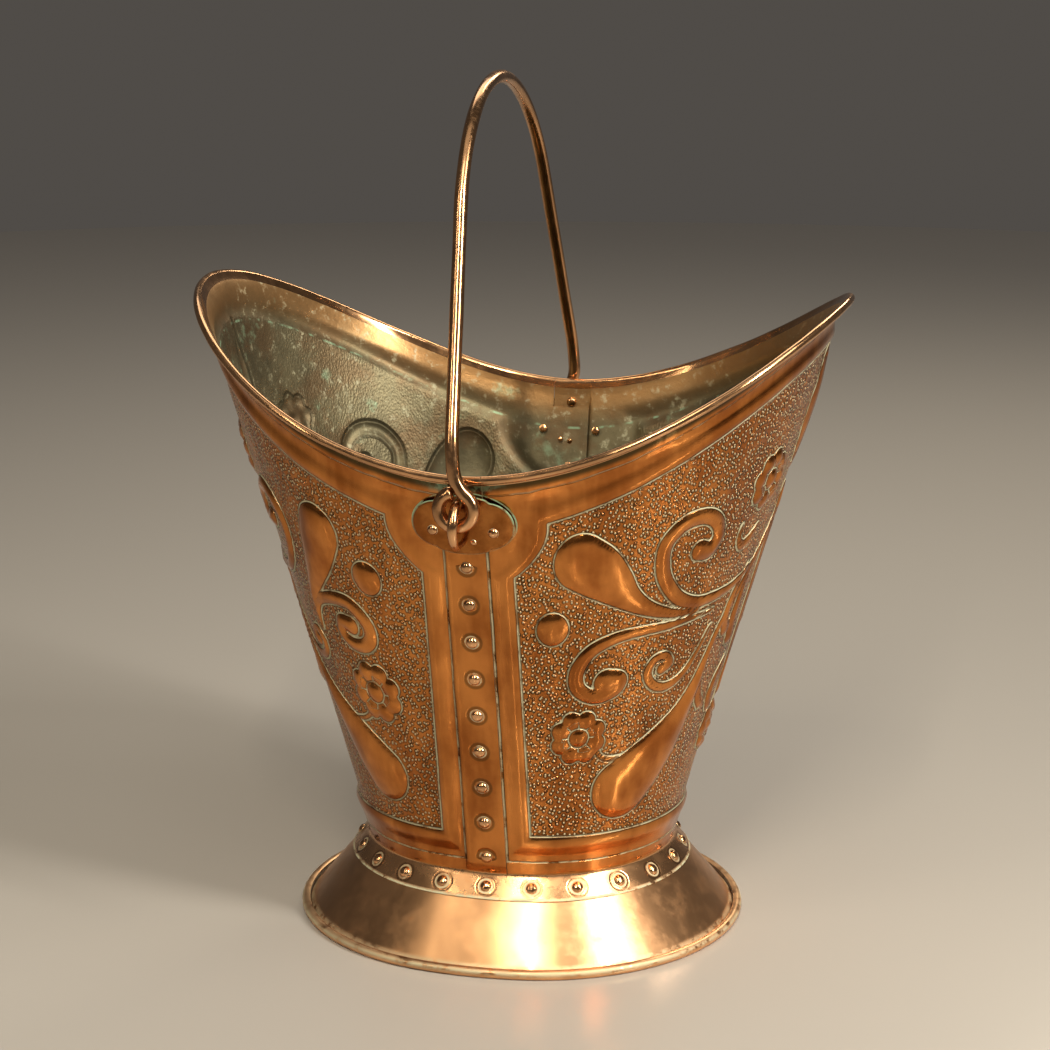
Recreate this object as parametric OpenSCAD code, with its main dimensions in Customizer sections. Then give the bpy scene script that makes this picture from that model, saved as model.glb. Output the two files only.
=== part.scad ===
// Copper coal scuttle: an oval bucket with two pouring lips, riveted at the
// sides, standing on a flared foot, with a round-rod bail in wire staples.
//
// Frame: origin at the middle of the foot's underside, +Z up. The lips point
// along +X and -X, the riveted seams and the bail's ears face +Y and -Y.

/* [Bucket] */
// Half the length of the mouth, from the middle to the end of a lip
mouth_a = 200; // [190:1:210]
// Half the width of the mouth at the seams
mouth_b = 146.8; // [140:0.2:154]
// Half the length of the bucket where it meets the foot
base_a = 98; // [94:1:104]
// Half the width of the bucket where it meets the foot
base_b = 87; // [83:1:91]
// Height of the rim at the seams
rim_side_z = 310.7; // [300:0.1:325]
// Height of the rim at the end of each lip
rim_lip_z = 397.6; // [380:0.1:415]
// How late the rim sweeps up towards the lips (1 is straight, 2 a parabola)
lip_sweep = 1.83; // [1.6:0.01:2.2]
// Hollowness of the wall between base and mouth, as a share of its flare
wall_dip = 0.025; // [0:0.005:0.04]
// Angle from the lip at which the round end runs into the flatter side
end_turn = 82.4; // [80:0.1:84]
// How far the wall draws in under the rolled rim, at the lips
lip_neck = 4; // [2:0.1:5]

/* [Sheet and wire] */
// Thickness of the copper sheet
sheet = 1; // [0.8:0.1:1.2]
// Diameter of the wire inside the rim
rim_wire_d = 3; // [2.4:0.1:3.6]
// Diameter of the wire inside the edge of the foot
foot_wire_d = 4; // [3.4:0.1:4.6]
// Clearance between a wire and the sheet rolled round it
wire_gap = 0.12; // [0.08:0.01:0.2]

/* [Seams] */
// Half the width of the overlap of the two sheets
lap = 12; // [11:0.5:14]
// Clearance between the two sheets of the overlap
lap_gap = 0.15; // [0.1:0.01:0.25]
// Number of rivets down each seam
seam_rivets = 9; // [6:1:10]
// Height of the lowest seam rivet
seam_low_z = 62; // [61:0.5:66]
// Height of the highest seam rivet
seam_high_z = 256.5; // [240:0.5:258]

/* [Raised ornament] */
// Height of the widest raised forms
form_h = 2.8; // [2:0.1:4]
// Share of that height that the narrow forms rise to
narrow_rise = 0.75; // [0.4:0.05:1]

/* [Foot] */
// Height at which the bucket meets the foot
base_z = 50.3; // [47:0.1:54]
// How far the foot spreads beyond the base of the bucket, to the middle of its edge
foot_spread = 40.5; // [37:0.5:45]
// Width of the bucket's collar that is splayed out over the foot
collar_w = 16.4; // [15:0.1:18]
// Number of rivets round the collar
collar_rivets = 22; // [18:2:26]
// Width of the flat worn under the edge of the foot
wear_flat = 3; // [2:0.1:3.6]
// Width of the ledge that carries the floor
ledge_w = 9; // [7:0.5:12]
// Height of the turned-up edge of the floor
floor_edge_h = 10; // [8:0.5:14]

/* [Rivets] */
// Diameter of a large rivet's head
rivet_head_d = 7.2; // [6:0.1:8]
// Height of a large rivet's head
rivet_head_h = 2.3; // [1.8:0.1:2.8]
// Diameter of a large rivet's shank
rivet_d = 3.2; // [2.6:0.1:3.6]
// Diameter of the small rivet's head under each staple
small_head_d = 3.6; // [3:0.1:4.2]
// Clearance of a shank in its hole, all round
rivet_fit = 0.15; // [0.1:0.01:0.25]

/* [Ears] */
// Length of an ear plate, along the rim
plate_w = 61; // [54:1:66]
// Height of an ear plate
plate_h = 38; // [36:0.5:40]
// Thickness of an ear plate
plate_t = 1.6; // [1.2:0.1:2]
// Distance of an ear plate's middle below the rim
plate_below = 26.7; // [25:0.1:28.5]
// Distance between the two large rivets of an ear plate
plate_rivet_span = 36; // [30:1:42]
// Diameter of the staple's wire
staple_d = 6; // [5:0.1:6.4]
// Distance between the two legs of a staple
staple_span = 25.6; // [24:0.1:27]
// Diameter of the staple's lower end, drawn down to a point
staple_tip_d = 3.6; // [3:0.1:4]

/* [Bail] */
// Diameter of the bail's rod
rod_d = 8; // [7:0.1:9]
// Height of the bail's top above its pivots
bail_h = 229.5; // [215:0.5:245]
// Angle of the bail's straight legs off the upright
leg_splay = 23; // [20:0.5:26]
// Radius of the bend at the foot of each leg
leg_bend_r = 60; // [40:1:80]
// Radius of the eye, to the middle of its rod
eye_r = 10; // [9.6:0.1:12]
// Angle past the eye's side at which the leg runs into it
eye_entry = 45; // [40:1:50]
// Angle at which the eye's open end stops, short of the leg
eye_end = 105; // [100:1:115]
// Distance of the bail's pivots below the rim
eye_below = 14.7; // [13:0.1:17]
// Clearance of the bail round the staple, and past the rim
bail_play = 0.4; // [0.3:0.05:0.6]
// Lean of the bail at rest, towards the left lip
bail_lean = 3.7; // [0:0.1:10]

/* [Hidden] */

copper = [0.72, 0.40, 0.25];
pale_copper = [0.82, 0.52, 0.36];
dark_copper = [0.55, 0.31, 0.20];

// Seat gaps between pieces that are pressed together
seat_gap = 0.1;
// The outer sheet of an overlap stands out by this much, over a short joggle
lap_shift = sheet + lap_gap;
joggle_w = 1.5;
// The covered sheet stops short of the covering sheet's joggle, rim and collar
tab_short = 0.5;
// Lengths of one rod or oval overlap by splice_len, and every second one is
// thinner by splice on each side, so that they join cleanly
splice = 0.02;
splice_len = 0.4;
tab_top = rim_side_z - 16;
tab_bottom = base_z + 6;
butt_gap = 0.2;

plate_z = rim_side_z - plate_below;
eye_z = rim_side_z - eye_below;

rim_bore_r = rim_wire_d / 2 + wire_gap;
rim_bead_r = rim_bore_r + sheet;
foot_bore_r = foot_wire_d / 2 + wire_gap;
foot_bead_r = foot_bore_r + sheet;
foot_bead_z = sqrt(foot_bead_r * foot_bead_r - wear_flat * wear_flat / 4);
foot_fall = base_z - foot_bead_z;
// Depths of the foot's two faces under the line of the collar's face
foot_top = sheet + seat_gap;
foot_under = foot_top + sheet;
foot_angle = atan2(foot_fall, foot_spread)
    + asin((foot_bore_r - foot_top) / norm([foot_fall, foot_spread]));
ledge_z = base_z - 0.8;

// ---- Plan: ovals of two round ends and two flatter sides -------------------

// Distance of a round end's centre from the middle
function end_shift(a, b) = (a - b) / (1 + tan(end_turn) - 1 / cos(end_turn));
function end_r(a, b) = a - end_shift(a, b);
function side_r(a, b) = b + end_shift(a, b) * tan(end_turn);

// Point of the oval a by b whose outward direction is w
function oval_point(w, a, b) = abs(sin(w)) <= sin(end_turn) + 1e-9
    ? [sign(cos(w)) * end_shift(a, b) + end_r(a, b) * cos(w), end_r(a, b) * sin(w)]
    : [side_r(a, b) * cos(w),
       side_r(a, b) * sin(w) - sign(sin(w)) * end_shift(a, b) * tan(end_turn)];

// Stations count round the right half of the bucket, from the front seam to the
// back one: -1 to 1 is the round end, up to 2 the side, 2 to 3 the joggle and
// 3 to 4 the overlap.
function side_x(u, join) = u <= 2 ? join + (lap + joggle_w - join) * (u - 1)
    : u <= 3 ? lap + joggle_w * (3 - u) : lap * (7 - 2 * u);
function turn(s, a, b) = abs(s) <= 1 ? s * end_turn
    : sign(s) * acos(side_x(abs(s), side_r(a, b) * cos(end_turn)) / side_r(a, b));

// ---- Wall: plan ovals that grow from the base to the saddle of the rim -----

function swell(t) = t - 4 * wall_dip * t * (1 - t);
function half_a(t) = base_a + (mouth_a - base_a) * swell(t);
function half_b(t) = base_b + (mouth_b - base_b) * swell(t);
function rim_x(s) = oval_point(turn(s, mouth_a, mouth_b), mouth_a, mouth_b)[0];
function rim_z(s) =
    rim_side_z + (rim_lip_z - rim_side_z) * pow(abs(rim_x(s)) / mouth_a, lip_sweep);
function below_rim(s, depth) = 1 - depth / (rim_z(s) - base_z);

// Point at station s and height share t, moved out by d and up by dz
function wall(s, t, d = 0, dz = 0) =
    let (w = turn(s, half_a(t), half_b(t)), p = oval_point(w, half_a(t), half_b(t)))
    [p[0] + d * cos(w), p[1] + d * sin(w), base_z + t * (rim_z(s) - base_z) + dz];

// Rows of a sheet: height share, inset and share of the overlap's shift
wall_shares = [0.02, 0.15, 0.32, 0.5, 0.68, 0.8];
function neck(s) = 0.8 + lip_neck * pow(rim_x(s) / mouth_a, 2);
function rows(s) = concat(
    [for (t = wall_shares) [t, 0, 1]],
    [[below_rim(s, 28), 0.4 * neck(s), 1], [below_rim(s, 16), neck(s), 1],
     [below_rim(s, 8), 0.9 * neck(s), 0.4], [below_rim(s, 3.5), 0.6 * neck(s) + 0.5, 0]]);

// One face of the sheet from the collar's edge to the end of the rim's curl:
// in is 0 on the outside of the bucket and 1 on the inside
curl_steps = 6;
curl_start = 180;
curl_end = -110;
function sheet_face(s, in) = let (
        thick = in * sheet,
        shift = lap_shift * max(0, min(1, s - 2)),
        run = collar_w * cos(foot_angle),
        drop = collar_w * sin(foot_angle),
        curl_r = in == 0 ? rim_bore_r : rim_bead_r)
    concat(
        [wall(s, 0, run - thick * sin(foot_angle), -drop - thick * cos(foot_angle)),
         wall(s, 0, 0.9 - 0.9 * thick, -0.9 - 0.4 * thick),
         wall(s, 0, 0.1 - thick, 0.5)],
        [for (r = rows(s)) wall(s, r[0], shift * r[2] - r[1] - thick)],
        [for (i = [0 : curl_steps])
            let (v = curl_start + (curl_end - curl_start) * i / curl_steps)
            wall(s, 1, curl_r * cos(v), curl_r * sin(v))]);

// ---- Raised forms ----------------------------------------------------------
// A place on the wall is its distance along the wall from the lip's middle line
// and its height above the foot. A form is a line of such places, each with
// the half width of the form there: two drops and two scrolls on each panel. The
// panels right and left of a seam, seen from outside, differ a little.
right_forms = [
    [[199, 219, 5], [194, 217, 12.5], [183, 212, 17], [168, 205, 17], [151, 196, 14],
     [136, 187, 10], [119, 178, 6.5], [98, 172, 4]],
    [[95, 37, 6], [92, 43, 15], [84, 56, 20], [74, 68, 18.5], [64, 81, 14], [56, 94, 10], [50, 109, 6.5]],
    [[62, 178, 3], [80, 177, 3.6], [97, 182, 4.2], [111, 192, 4.8], [121, 204, 5.2],
     [126, 219, 5.2], [118, 231, 5.2], [103, 234, 5], [90, 229, 4.8], [83, 219, 4.6]],
    [[100, 165, 2.6], [117, 164, 3], [134, 161, 3.6], [147, 153, 4.2],
     [150.5, 140, 4.8], [144, 127, 5], [130, 119, 5], [118, 124, 5]]];
right_spots = [[129.7, 95.4, 17], [44, 247, 17], [179.3, 167.5, 10]];
left_forms = [
    [[158, 233, 6], [154, 228, 14], [146, 218, 18.5], [136, 206, 16], [126, 194, 12], [115, 181, 8],
     [106, 168, 4.5]],
    [[119, 46, 6], [114, 50, 13], [104, 61, 17], [95, 74, 15.5], [87, 87, 12], [78, 100, 8.5], [70, 112, 5]],
    [[62, 182, 3], [78, 184, 3.6], [90, 192, 4.2], [99, 203, 4.8], [103, 216, 5.2],
     [98, 229, 5.2], [86, 235, 5.2], [74, 231, 5], [68, 221, 4.8]],
    [[106, 150, 3], [116, 165, 3.6], [130, 174, 4.4], [146, 172, 5], [152, 159, 5], [143, 147, 5],
     [130, 147, 5]]];
left_spots = [[131, 115, 17], [44, 250, 17], [172.5, 191.8, 10]];
middle_flower = [0, 78, 16];
// The forms are rooted this deep in the sheet
root = 0.5 * sheet;
// Half widths of a narrow form and of one that rises to the full height
form_narrow_w = 5;
form_wide_w = 11;
// The edge of a form climbs steeply to its shoulder, this far out from its middle
// and at this share of its height
shoulder = 0.8;
shoulder_rise = 0.7;

// Direction of the oval at distance p along the wall, at height share t
function direction(p, t) = let (a = half_a(t), b = half_b(t), end = end_r(a, b) * end_turn * PI / 180)
    p <= end ? p / end * end_turn : end_turn + (p - end) / side_r(a, b) * 180 / PI;
function rim_over(w) = rim_side_z - base_z
    + (rim_lip_z - rim_side_z) * pow(abs(oval_point(w, mouth_a, mouth_b)[0]) / mouth_a, lip_sweep);
function share_at(p, up, t, tries) = tries == 0 ? t
    : share_at(p, up, up / rim_over(direction(p, t)), tries - 1);

// Point out from the wall at a place; places left of the lip line are negative
function at_place(p, up, out) = let (
        t = share_at(abs(p), up, up / (rim_side_z - base_z), 4),
        w = sign(p) * direction(abs(p), t),
        q = oval_point(w, half_a(t), half_b(t)))
    [q[0] + out * cos(w), q[1] + out * sin(w), base_z + up];

function form_height(r) = form_h * (narrow_rise + (1 - narrow_rise)
    * max(0, min(1, (r - form_narrow_w) / (form_wide_w - form_narrow_w))));

// Section of a form across its line: root, two shoulders and the crown
function form_section(line, i) = let (
        before = line[max(0, i - 1)], after = line[min(len(line) - 1, i + 1)],
        d = [after[0] - before[0], after[1] - before[1]],
        across = [-d[1], d[0]] / norm(d),
        p = line[i], rise = form_height(p[2]) * (i == 0 || i == len(line) - 1 ? 0.5 : 1))
    [for (k = [[-1, -root], [-shoulder, shoulder_rise * rise], [0, rise],
               [shoulder, shoulder_rise * rise], [1, -root], [0, -root]])
        at_place(p[0] + k[0] * p[2] * across[0], p[1] + k[0] * p[2] * across[1], k[1])];

// Closed solid through a row of sections
module loft(sections) {
    m = len(sections);
    n = len(sections[0]);
    polyhedron([for (section = sections) each section], concat(
        [for (j = [0 : m - 2], i = [0 : n - 1]) let (k = (i + 1) % n)
            each [[n * j + i, n * j + k, n * j + n + k], [n * j + i, n * j + n + k, n * j + n + i]]],
        [for (i = [1 : n - 2]) [0, i + 1, i]],
        [for (i = [1 : n - 2]) [n * (m - 1), n * (m - 1) + i, n * (m - 1) + i + 1]]));
}

module form(line, side)
    loft([for (i = [0 : len(line) - 1]) side > 0 ? form_section(line, i)
        : let (f = form_section(line, i)) [for (j = [5 : -1 : 0]) [f[j][0], -f[j][1], f[j][2]]]]);

// Domed spot, for a flower or boss: a root ring, a shoulder ring, a crown and a point under it
spot_sides = 12;
module spot(place, side) {
    rise = form_height(place[2]);
    function on_ring(i, share, out) = at_place(
        side * (place[0] + share * place[2] * cos(360 * i / spot_sides)),
        place[1] + share * place[2] * sin(360 * i / spot_sides), out);
    n = spot_sides;
    polyhedron(concat(
        [for (i = [0 : n - 1]) on_ring(i, 1, -root)],
        [for (i = [0 : n - 1]) on_ring(i, shoulder, shoulder_rise * rise)],
        [on_ring(0, 0, rise), on_ring(0, 0, -root)]),
        [for (i = [0 : n - 1]) let (k = (i + 1) % n)
            each [for (f = [[i, k, n + k], [i, n + k, n + i], [n + i, n + k, 2 * n], [k, i, 2 * n + 1]])
                side > 0 ? [f[2], f[1], f[0]] : f]]);
}

module raised_forms() {
    for (line = right_forms) form(line, -1);
    for (place = right_spots) spot(place, -1);
    for (line = left_forms) form(line, 1);
    for (place = left_spots) spot(place, 1);
    spot(middle_flower, 1);
}

// Closed solid between the two faces of a ribbon, given as rows of points
module ribbon(outside, inside) {
    n = len(outside[0]);
    m = len(outside);
    points = [for (j = [0 : m - 1]) each concat(outside[j], inside[j])];
    function at(j, i) = 2 * n * j + i;
    quads = concat(
        [for (j = [0 : m - 2], i = [0 : n - 2])
            [at(j, i), at(j, i + 1), at(j + 1, i + 1), at(j + 1, i)]],
        [for (j = [0 : m - 2], i = [0 : n - 2])
            [at(j, n + i), at(j + 1, n + i), at(j + 1, n + i + 1), at(j, n + i + 1)]],
        [for (j = [0 : m - 2])
            [at(j, 0), at(j + 1, 0), at(j + 1, n), at(j, n)]],
        [for (j = [0 : m - 2])
            [at(j, n - 1), at(j, 2 * n - 1), at(j + 1, 2 * n - 1), at(j + 1, n - 1)]],
        [for (i = [0 : n - 2])
            [at(0, i), at(0, n + i), at(0, n + i + 1), at(0, i + 1)]],
        [for (i = [0 : n - 2])
            [at(m - 1, i), at(m - 1, i + 1), at(m - 1, n + i + 1), at(m - 1, n + i)]]);
    polyhedron(points, [for (q = quads) each [[q[0], q[1], q[2]], [q[0], q[2], q[3]]]]);
}

// Closed ring through sections, each a closed row of points
module ring(loop) {
    m = len(loop);
    n = len(loop[0]);
    polyhedron([for (section = loop) each section],
        [for (j = [0 : m - 1], i = [0 : n - 1])
            let (k = (j + 1) % m, l = (i + 1) % n)
            each [[n * j + i, n * j + l, n * k + l], [n * j + i, n * k + l, n * k + i]]]);
}

// Section of a wire
wire_sides = 6;
function wire_point(d, i) = d / 2 * [cos(360 * i / wire_sides), sin(360 * i / wire_sides)];

end_steps = 30;
side_steps = 3;
half_stations = concat(
    [-3, -2],
    [for (i = [1 : side_steps]) -2 + i / side_steps],
    [for (i = [1 : end_steps]) -1 + 2 * i / end_steps],
    [for (i = [1 : side_steps]) 1 + i / side_steps],
    [3]);
shell_stations = concat([-4 + tab_short / lap / 2, -3.5], half_stations, [3.5, 4]);

// ---- Places on the seam's side of the bucket -------------------------------

function seam_t(z) = (z - base_z) / (rim_side_z - base_z);
function seam_lean(z) = atan((mouth_b - base_b) / (rim_side_z - base_z)
    * (1 - 4 * wall_dip * (1 - 2 * seam_t(z))));

// Children stand on the front seam at height z, with +Z out of the wall
module on_seam(z, out = 0, x = 0)
    translate([x, -half_b(seam_t(z)), z]) rotate([90 + seam_lean(z), 0, 0])
        translate([0, 0, out]) children();

module at_back() rotate([0, 0, 180]) children();

seam_rivet_z = [for (i = [0 : seam_rivets - 1])
    seam_low_z + (seam_high_z - seam_low_z) * i / (seam_rivets - 1)];

// ---- Rivets ----------------------------------------------------------------

// Domed head from z = 0 up, shank and flat clenched head below
module rivet(head_d, head_h, shank_d, grip) {
    dome_r = (head_d * head_d / 4 + head_h * head_h) / (2 * head_h);
    tail_d = shank_d * 1.7;
    intersection() {
        translate([0, 0, head_h - dome_r]) sphere(r = dome_r);
        cylinder(d = head_d + 1, h = head_h + 1);
    }
    translate([0, 0, -grip - 0.5]) cylinder(d = shank_d, h = grip + 1);
    translate([0, 0, -grip - 1.2]) cylinder(d = tail_d, h = 1.2);
}

module rivet_hole(shank_d, grip)
    translate([0, 0, -grip - 3]) cylinder(d = shank_d + 2 * rivet_fit, h = grip + 6);

// Seam rivets
seam_grip = lap_shift + sheet + 2 * seat_gap;
module seam_places()
    for (z = seam_rivet_z) on_seam(z, lap_shift + seat_gap) children();

// Collar rivets, evenly spaced along the oval
collar_a = base_a + collar_w / 2 * cos(foot_angle);
collar_b = base_b + collar_w / 2 * cos(foot_angle);
side_len = side_r(collar_a, collar_b) * (90 - end_turn) * PI / 180;
end_len = end_r(collar_a, collar_b) * end_turn * PI / 180;
function collar_turn(u) = let (
        quarter = side_len + end_len,
        q = floor(u / quarter),
        v = q % 2 == 0 ? u - q * quarter : (q + 1) * quarter - u,
        w = v < side_len ? 90 - v / side_len * (90 - end_turn)
            : end_turn * (1 - (v - side_len) / end_len))
    (q % 2 == 0 ? -w : w) + 180 * floor(q / 2);
collar_rivet_turns = [for (i = [0 : collar_rivets - 1])
    collar_turn(4 * (side_len + end_len) * i / collar_rivets)];
foot_end_steps = 24;
foot_side_steps = 5;
// The foot's facets lie this far inside its oval
foot_sag = end_r(collar_a, collar_b) * (1 - cos(end_turn / foot_end_steps));
collar_grip = 2 * sheet + 3 * seat_gap + foot_sag;
module on_collar(w) {
    p = oval_point(w, collar_a, collar_b);
    translate([p[0], p[1], base_z - collar_w / 2 * sin(foot_angle)]) rotate([0, 0, w])
        rotate([0, foot_angle, 0]) translate([0, 0, seat_gap]) children();
}

// ---- Ear plate, its rivets and the staple ----------------------------------

plate_r = side_r(half_a(seam_t(plate_z)), half_b(seam_t(plate_z))) / cos(seam_lean(plate_z));
plate_out = lap_shift + seat_gap;
plate_rivet_y = -4;
small_rivet_at = [6, -10.5];
function plate_drop(x) = plate_r - sqrt(plate_r * plate_r - x * x);

pivot_y = mouth_b + rim_bead_r + bail_play + rod_d / 2 + 3.2;
staple_z = eye_z + eye_r - rod_d / 2 - staple_d / 2 - bail_play;
staple_low_z = staple_z - staple_span;
staple_reach = pivot_y + rod_d / 2 + bail_play + staple_d / 2 + 0.6;
staple_turn_y = staple_reach - staple_span / 2;

// How far the wall lies in, at x from the seam, behind the plane of the plate
function wall_in(x) = 0.4 * neck(4)
    + (rim_lip_z - rim_side_z) * pow(x / mouth_a, lip_sweep) * tan(seam_lean(plate_z));
function plate_grip(x) = plate_t + plate_out + sheet + wall_in(x) + 2 * seat_gap;

// Children stand at a plate's large rivets
module plate_rivet_places()
    for (side = [-1, 1]) let (x = side * plate_rivet_span / 2)
        on_seam(plate_z) translate([x, plate_rivet_y, plate_out + plate_t + seat_gap - plate_drop(x)])
            rotate([0, asin(x / plate_r), 0]) children();
module small_rivet_place()
    on_seam(plate_z) translate([small_rivet_at[0], small_rivet_at[1],
        plate_out + plate_t + seat_gap - plate_drop(small_rivet_at[0])]) children();
large_grip = plate_grip(plate_rivet_span / 2);
small_grip = plate_grip(small_rivet_at[0]);
small_shank_d = 1.8;

// Bores that the staple's two legs need
module staple_bores() {
    deep = staple_turn_y - half_b(0.5);
    translate([0, -staple_turn_y, staple_z]) rotate([-90, 0, 0])
        cylinder(d = staple_d + 2 * rivet_fit, h = deep);
    translate([0, -staple_turn_y, staple_low_z]) rotate([-90, 0, 0])
        cylinder(d = staple_tip_d + 2 * rivet_fit, h = deep);
}

// Every hole that one seam needs
module seam_bores() {
    seam_places() rivet_hole(rivet_d, seam_grip);
    plate_rivet_places() rivet_hole(rivet_d, large_grip);
    small_rivet_place() rivet_hole(small_shank_d, small_grip);
    staple_bores();
}

module collar_bores(turns)
    for (w = turns) on_collar(w) rivet_hole(rivet_d, collar_grip);

// ---- Sub-parts -------------------------------------------------------------

// Half of the bucket: one sheet with its splayed collar, its rolled rim, the
// covering strip of one seam and the covered strip of the other
module half_shell() {
    difference() {
        union() {
            ribbon([for (s = shell_stations) sheet_face(s, 0)],
                   [for (s = shell_stations) sheet_face(s, 1)]);
            raised_forms();
        }
        // the covered strip has neither rim nor collar
        translate([-lap - 1, -mouth_b - 20, tab_top])
            cube([2 * lap + 1 + butt_gap, mouth_b, 40]);
        translate([-lap - 1, -mouth_b - 20, 0])
            cube([2 * lap + 1 + butt_gap, mouth_b, tab_bottom]);
        seam_bores();
        at_back() seam_bores();
        collar_bores([for (w = collar_rivet_turns) if (w > -89 && w < 91) w]);
    }
}

module right_body_shell() color(copper) half_shell();
module left_body_shell() color(copper) at_back() half_shell();

// Wire that the rim is rolled round, in one ring
module rim_wire() color(dark_copper) {
    half = [for (s = concat(half_stations, [3.5])) [for (i = [0 : wire_sides - 1])
        let (p = wire_point(rim_wire_d, i)) wall(s, 1, p[0], p[1])]];
    ring(concat(half, [for (section = half) [for (p = section) [-p[0], -p[1], p[2]]]]));
}

// Point of the foot's slope: along it from the base, and in under its face
function slope_point(along, depth) =
    [along * cos(foot_angle) - depth * sin(foot_angle),
     base_z - along * sin(foot_angle) - depth * cos(foot_angle)];
function slope_along(depth, z) = (base_z - z - depth * cos(foot_angle)) / sin(foot_angle);

// Half of the foot's section, by distance out from the base oval and height:
// ledge, slope and curl, on the upper face and on the under one
foot_curl_steps = 8;
foot_curl = 270;
ledge_in = slope_point(slope_along(foot_top, ledge_z), foot_top)[0] - ledge_w;
function foot_face(depth, curl_r) = let (level = ledge_z - depth + foot_top) concat(
    [[ledge_in, level], slope_point(slope_along(depth, level), depth)],
    [for (i = [0 : foot_curl_steps])
        let (v = 270 - foot_angle + foot_curl * i / foot_curl_steps)
        [foot_spread + curl_r * cos(v), max(0, foot_bead_z + curl_r * sin(v))]]);
function turned_back(row) = [for (i = [len(row) - 1 : -1 : 0]) row[i]];

// Directions of the base oval that the foot's sections stand at
foot_turns = [for (half = [0, 180]) each concat(
    [for (i = [0 : foot_end_steps - 1]) half + end_turn * (2 * i / foot_end_steps - 1)],
    [for (i = [0 : foot_side_steps - 1])
        half + end_turn + (180 - 2 * end_turn) * i / foot_side_steps])];
// Section points carried to the direction w of the base oval
function at_base(section, w) = let (p = oval_point(w, base_a, base_b))
    [for (q = section) [p[0] + q[0] * cos(w), p[1] + q[0] * sin(w), q[1]]];

module foot_skirt() color(pale_copper)
    difference() {
        ring([for (w = foot_turns) at_base(concat(
            foot_face(foot_under, foot_bead_r), turned_back(foot_face(foot_top, foot_bore_r))), w)]);
        collar_bores(collar_rivet_turns);
    }

module foot_wire() color(dark_copper)
    ring([for (w = foot_turns) at_base([for (i = [0 : wire_sides - 1])
        wire_point(foot_wire_d, i) + [foot_spread, foot_bead_z]], w)]);

// Two profiles, drawn by their distance out from the base oval, carried round
// it: the first round the two ends, the second along the two sides
module round_base() {
    shift = end_shift(base_a, base_b);
    side = side_r(base_a, base_b);
    side_sweep = 180 - 2 * end_turn + 2 * splice_len / side * 180 / PI;
    for (half = [0, 180]) rotate([0, 0, half]) {
        translate([shift, 0, 0]) rotate([0, 0, -end_turn])
            rotate_extrude(angle = 2 * end_turn, $fn = 180)
                translate([end_r(base_a, base_b), 0]) children(0);
        translate([0, -shift * tan(end_turn), 0]) rotate([0, 0, 90 - side_sweep / 2])
            rotate_extrude(angle = side_sweep, $fn = 360)
                translate([side, 0]) children(1);
    }
}

// Section of the floor's rim: a flat band and a turned-up edge
floor_band = 20;
module floor_profile(thinner) {
    edge = -sheet - 0.6 - thinner;
    edge_in = -sheet - 0.6 - sheet + thinner;
    flare = 0.2 * floor_edge_h;
    polygon([[-floor_band, ledge_z], [edge, ledge_z], [edge + flare, ledge_z + floor_edge_h],
        [edge_in + flare, ledge_z + floor_edge_h], [edge_in, ledge_z + sheet],
        [-floor_band, ledge_z + sheet]]);
}

// Oval floor with a turned-up edge, resting on the foot's ledge
module floor_pan() color(dark_copper) {
    round_base() {
        floor_profile(0);
        floor_profile(splice);
    }
    translate([0, 0, ledge_z]) linear_extrude(sheet)
        polygon([for (i = [0 : 47])
            oval_point(7.5 * i, base_a - floor_band / 2, base_b - floor_band / 2)]);
}

module seam_rivet_row() color(pale_copper)
    seam_places() rivet(rivet_head_d, rivet_head_h, rivet_d, seam_grip);
module front_seam_rivets() seam_rivet_row();
module back_seam_rivets() at_back() seam_rivet_row();

module collar_rivets() color(pale_copper)
    for (w = collar_rivet_turns) on_collar(w)
        rivet(rivet_head_d, rivet_head_h, rivet_d, collar_grip);

// Oval plate curved to the bucket's side
module ear_plate() color(copper) {
    end_d = plate_h * 0.78;
    flank_r = (pow(plate_w - end_d, 2) / 4 + pow(plate_h, 2) / 4 - pow(end_d, 2) / 4)
        / (plate_h - end_d);
    difference() {
        on_seam(plate_z) intersection() {
            translate([0, 0, plate_out - 6]) union() {
                for (side = [-1, 1]) translate([side * (plate_w - end_d) / 2, 0, 0])
                    cylinder(d = end_d, h = 12);
                intersection() {
                    intersection_for(side = [-1, 1])
                        translate([0, side * (flank_r - plate_h / 2), 0])
                            cylinder(r = flank_r, h = 12, $fn = 180);
                    translate([-(plate_w - end_d) / 2, -plate_h, 0])
                        cube([plate_w - end_d, 2 * plate_h, 12]);
                }
            }
            translate([0, 0, plate_out - plate_r]) rotate([90, 0, 0]) difference() {
                cylinder(r = plate_r + plate_t, h = 2 * plate_h, center = true, $fn = 720);
                cylinder(r = plate_r, h = 3 * plate_h, center = true, $fn = 720);
            }
        }
        plate_rivet_places() rivet_hole(rivet_d, large_grip);
        small_rivet_place() rivet_hole(small_shank_d, small_grip);
        staple_bores();
    }
}
module front_ear_plate() ear_plate();
module back_ear_plate() at_back() ear_plate();

module ear_rivets() color(pale_copper) {
    plate_rivet_places() rivet(rivet_head_d * 0.88, rivet_head_h, rivet_d, large_grip);
    small_rivet_place() rivet(small_head_d, 1.2, small_shank_d, small_grip);
}
module front_ear_rivets() ear_rivets();
module back_ear_rivets() at_back() ear_rivets();

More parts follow.
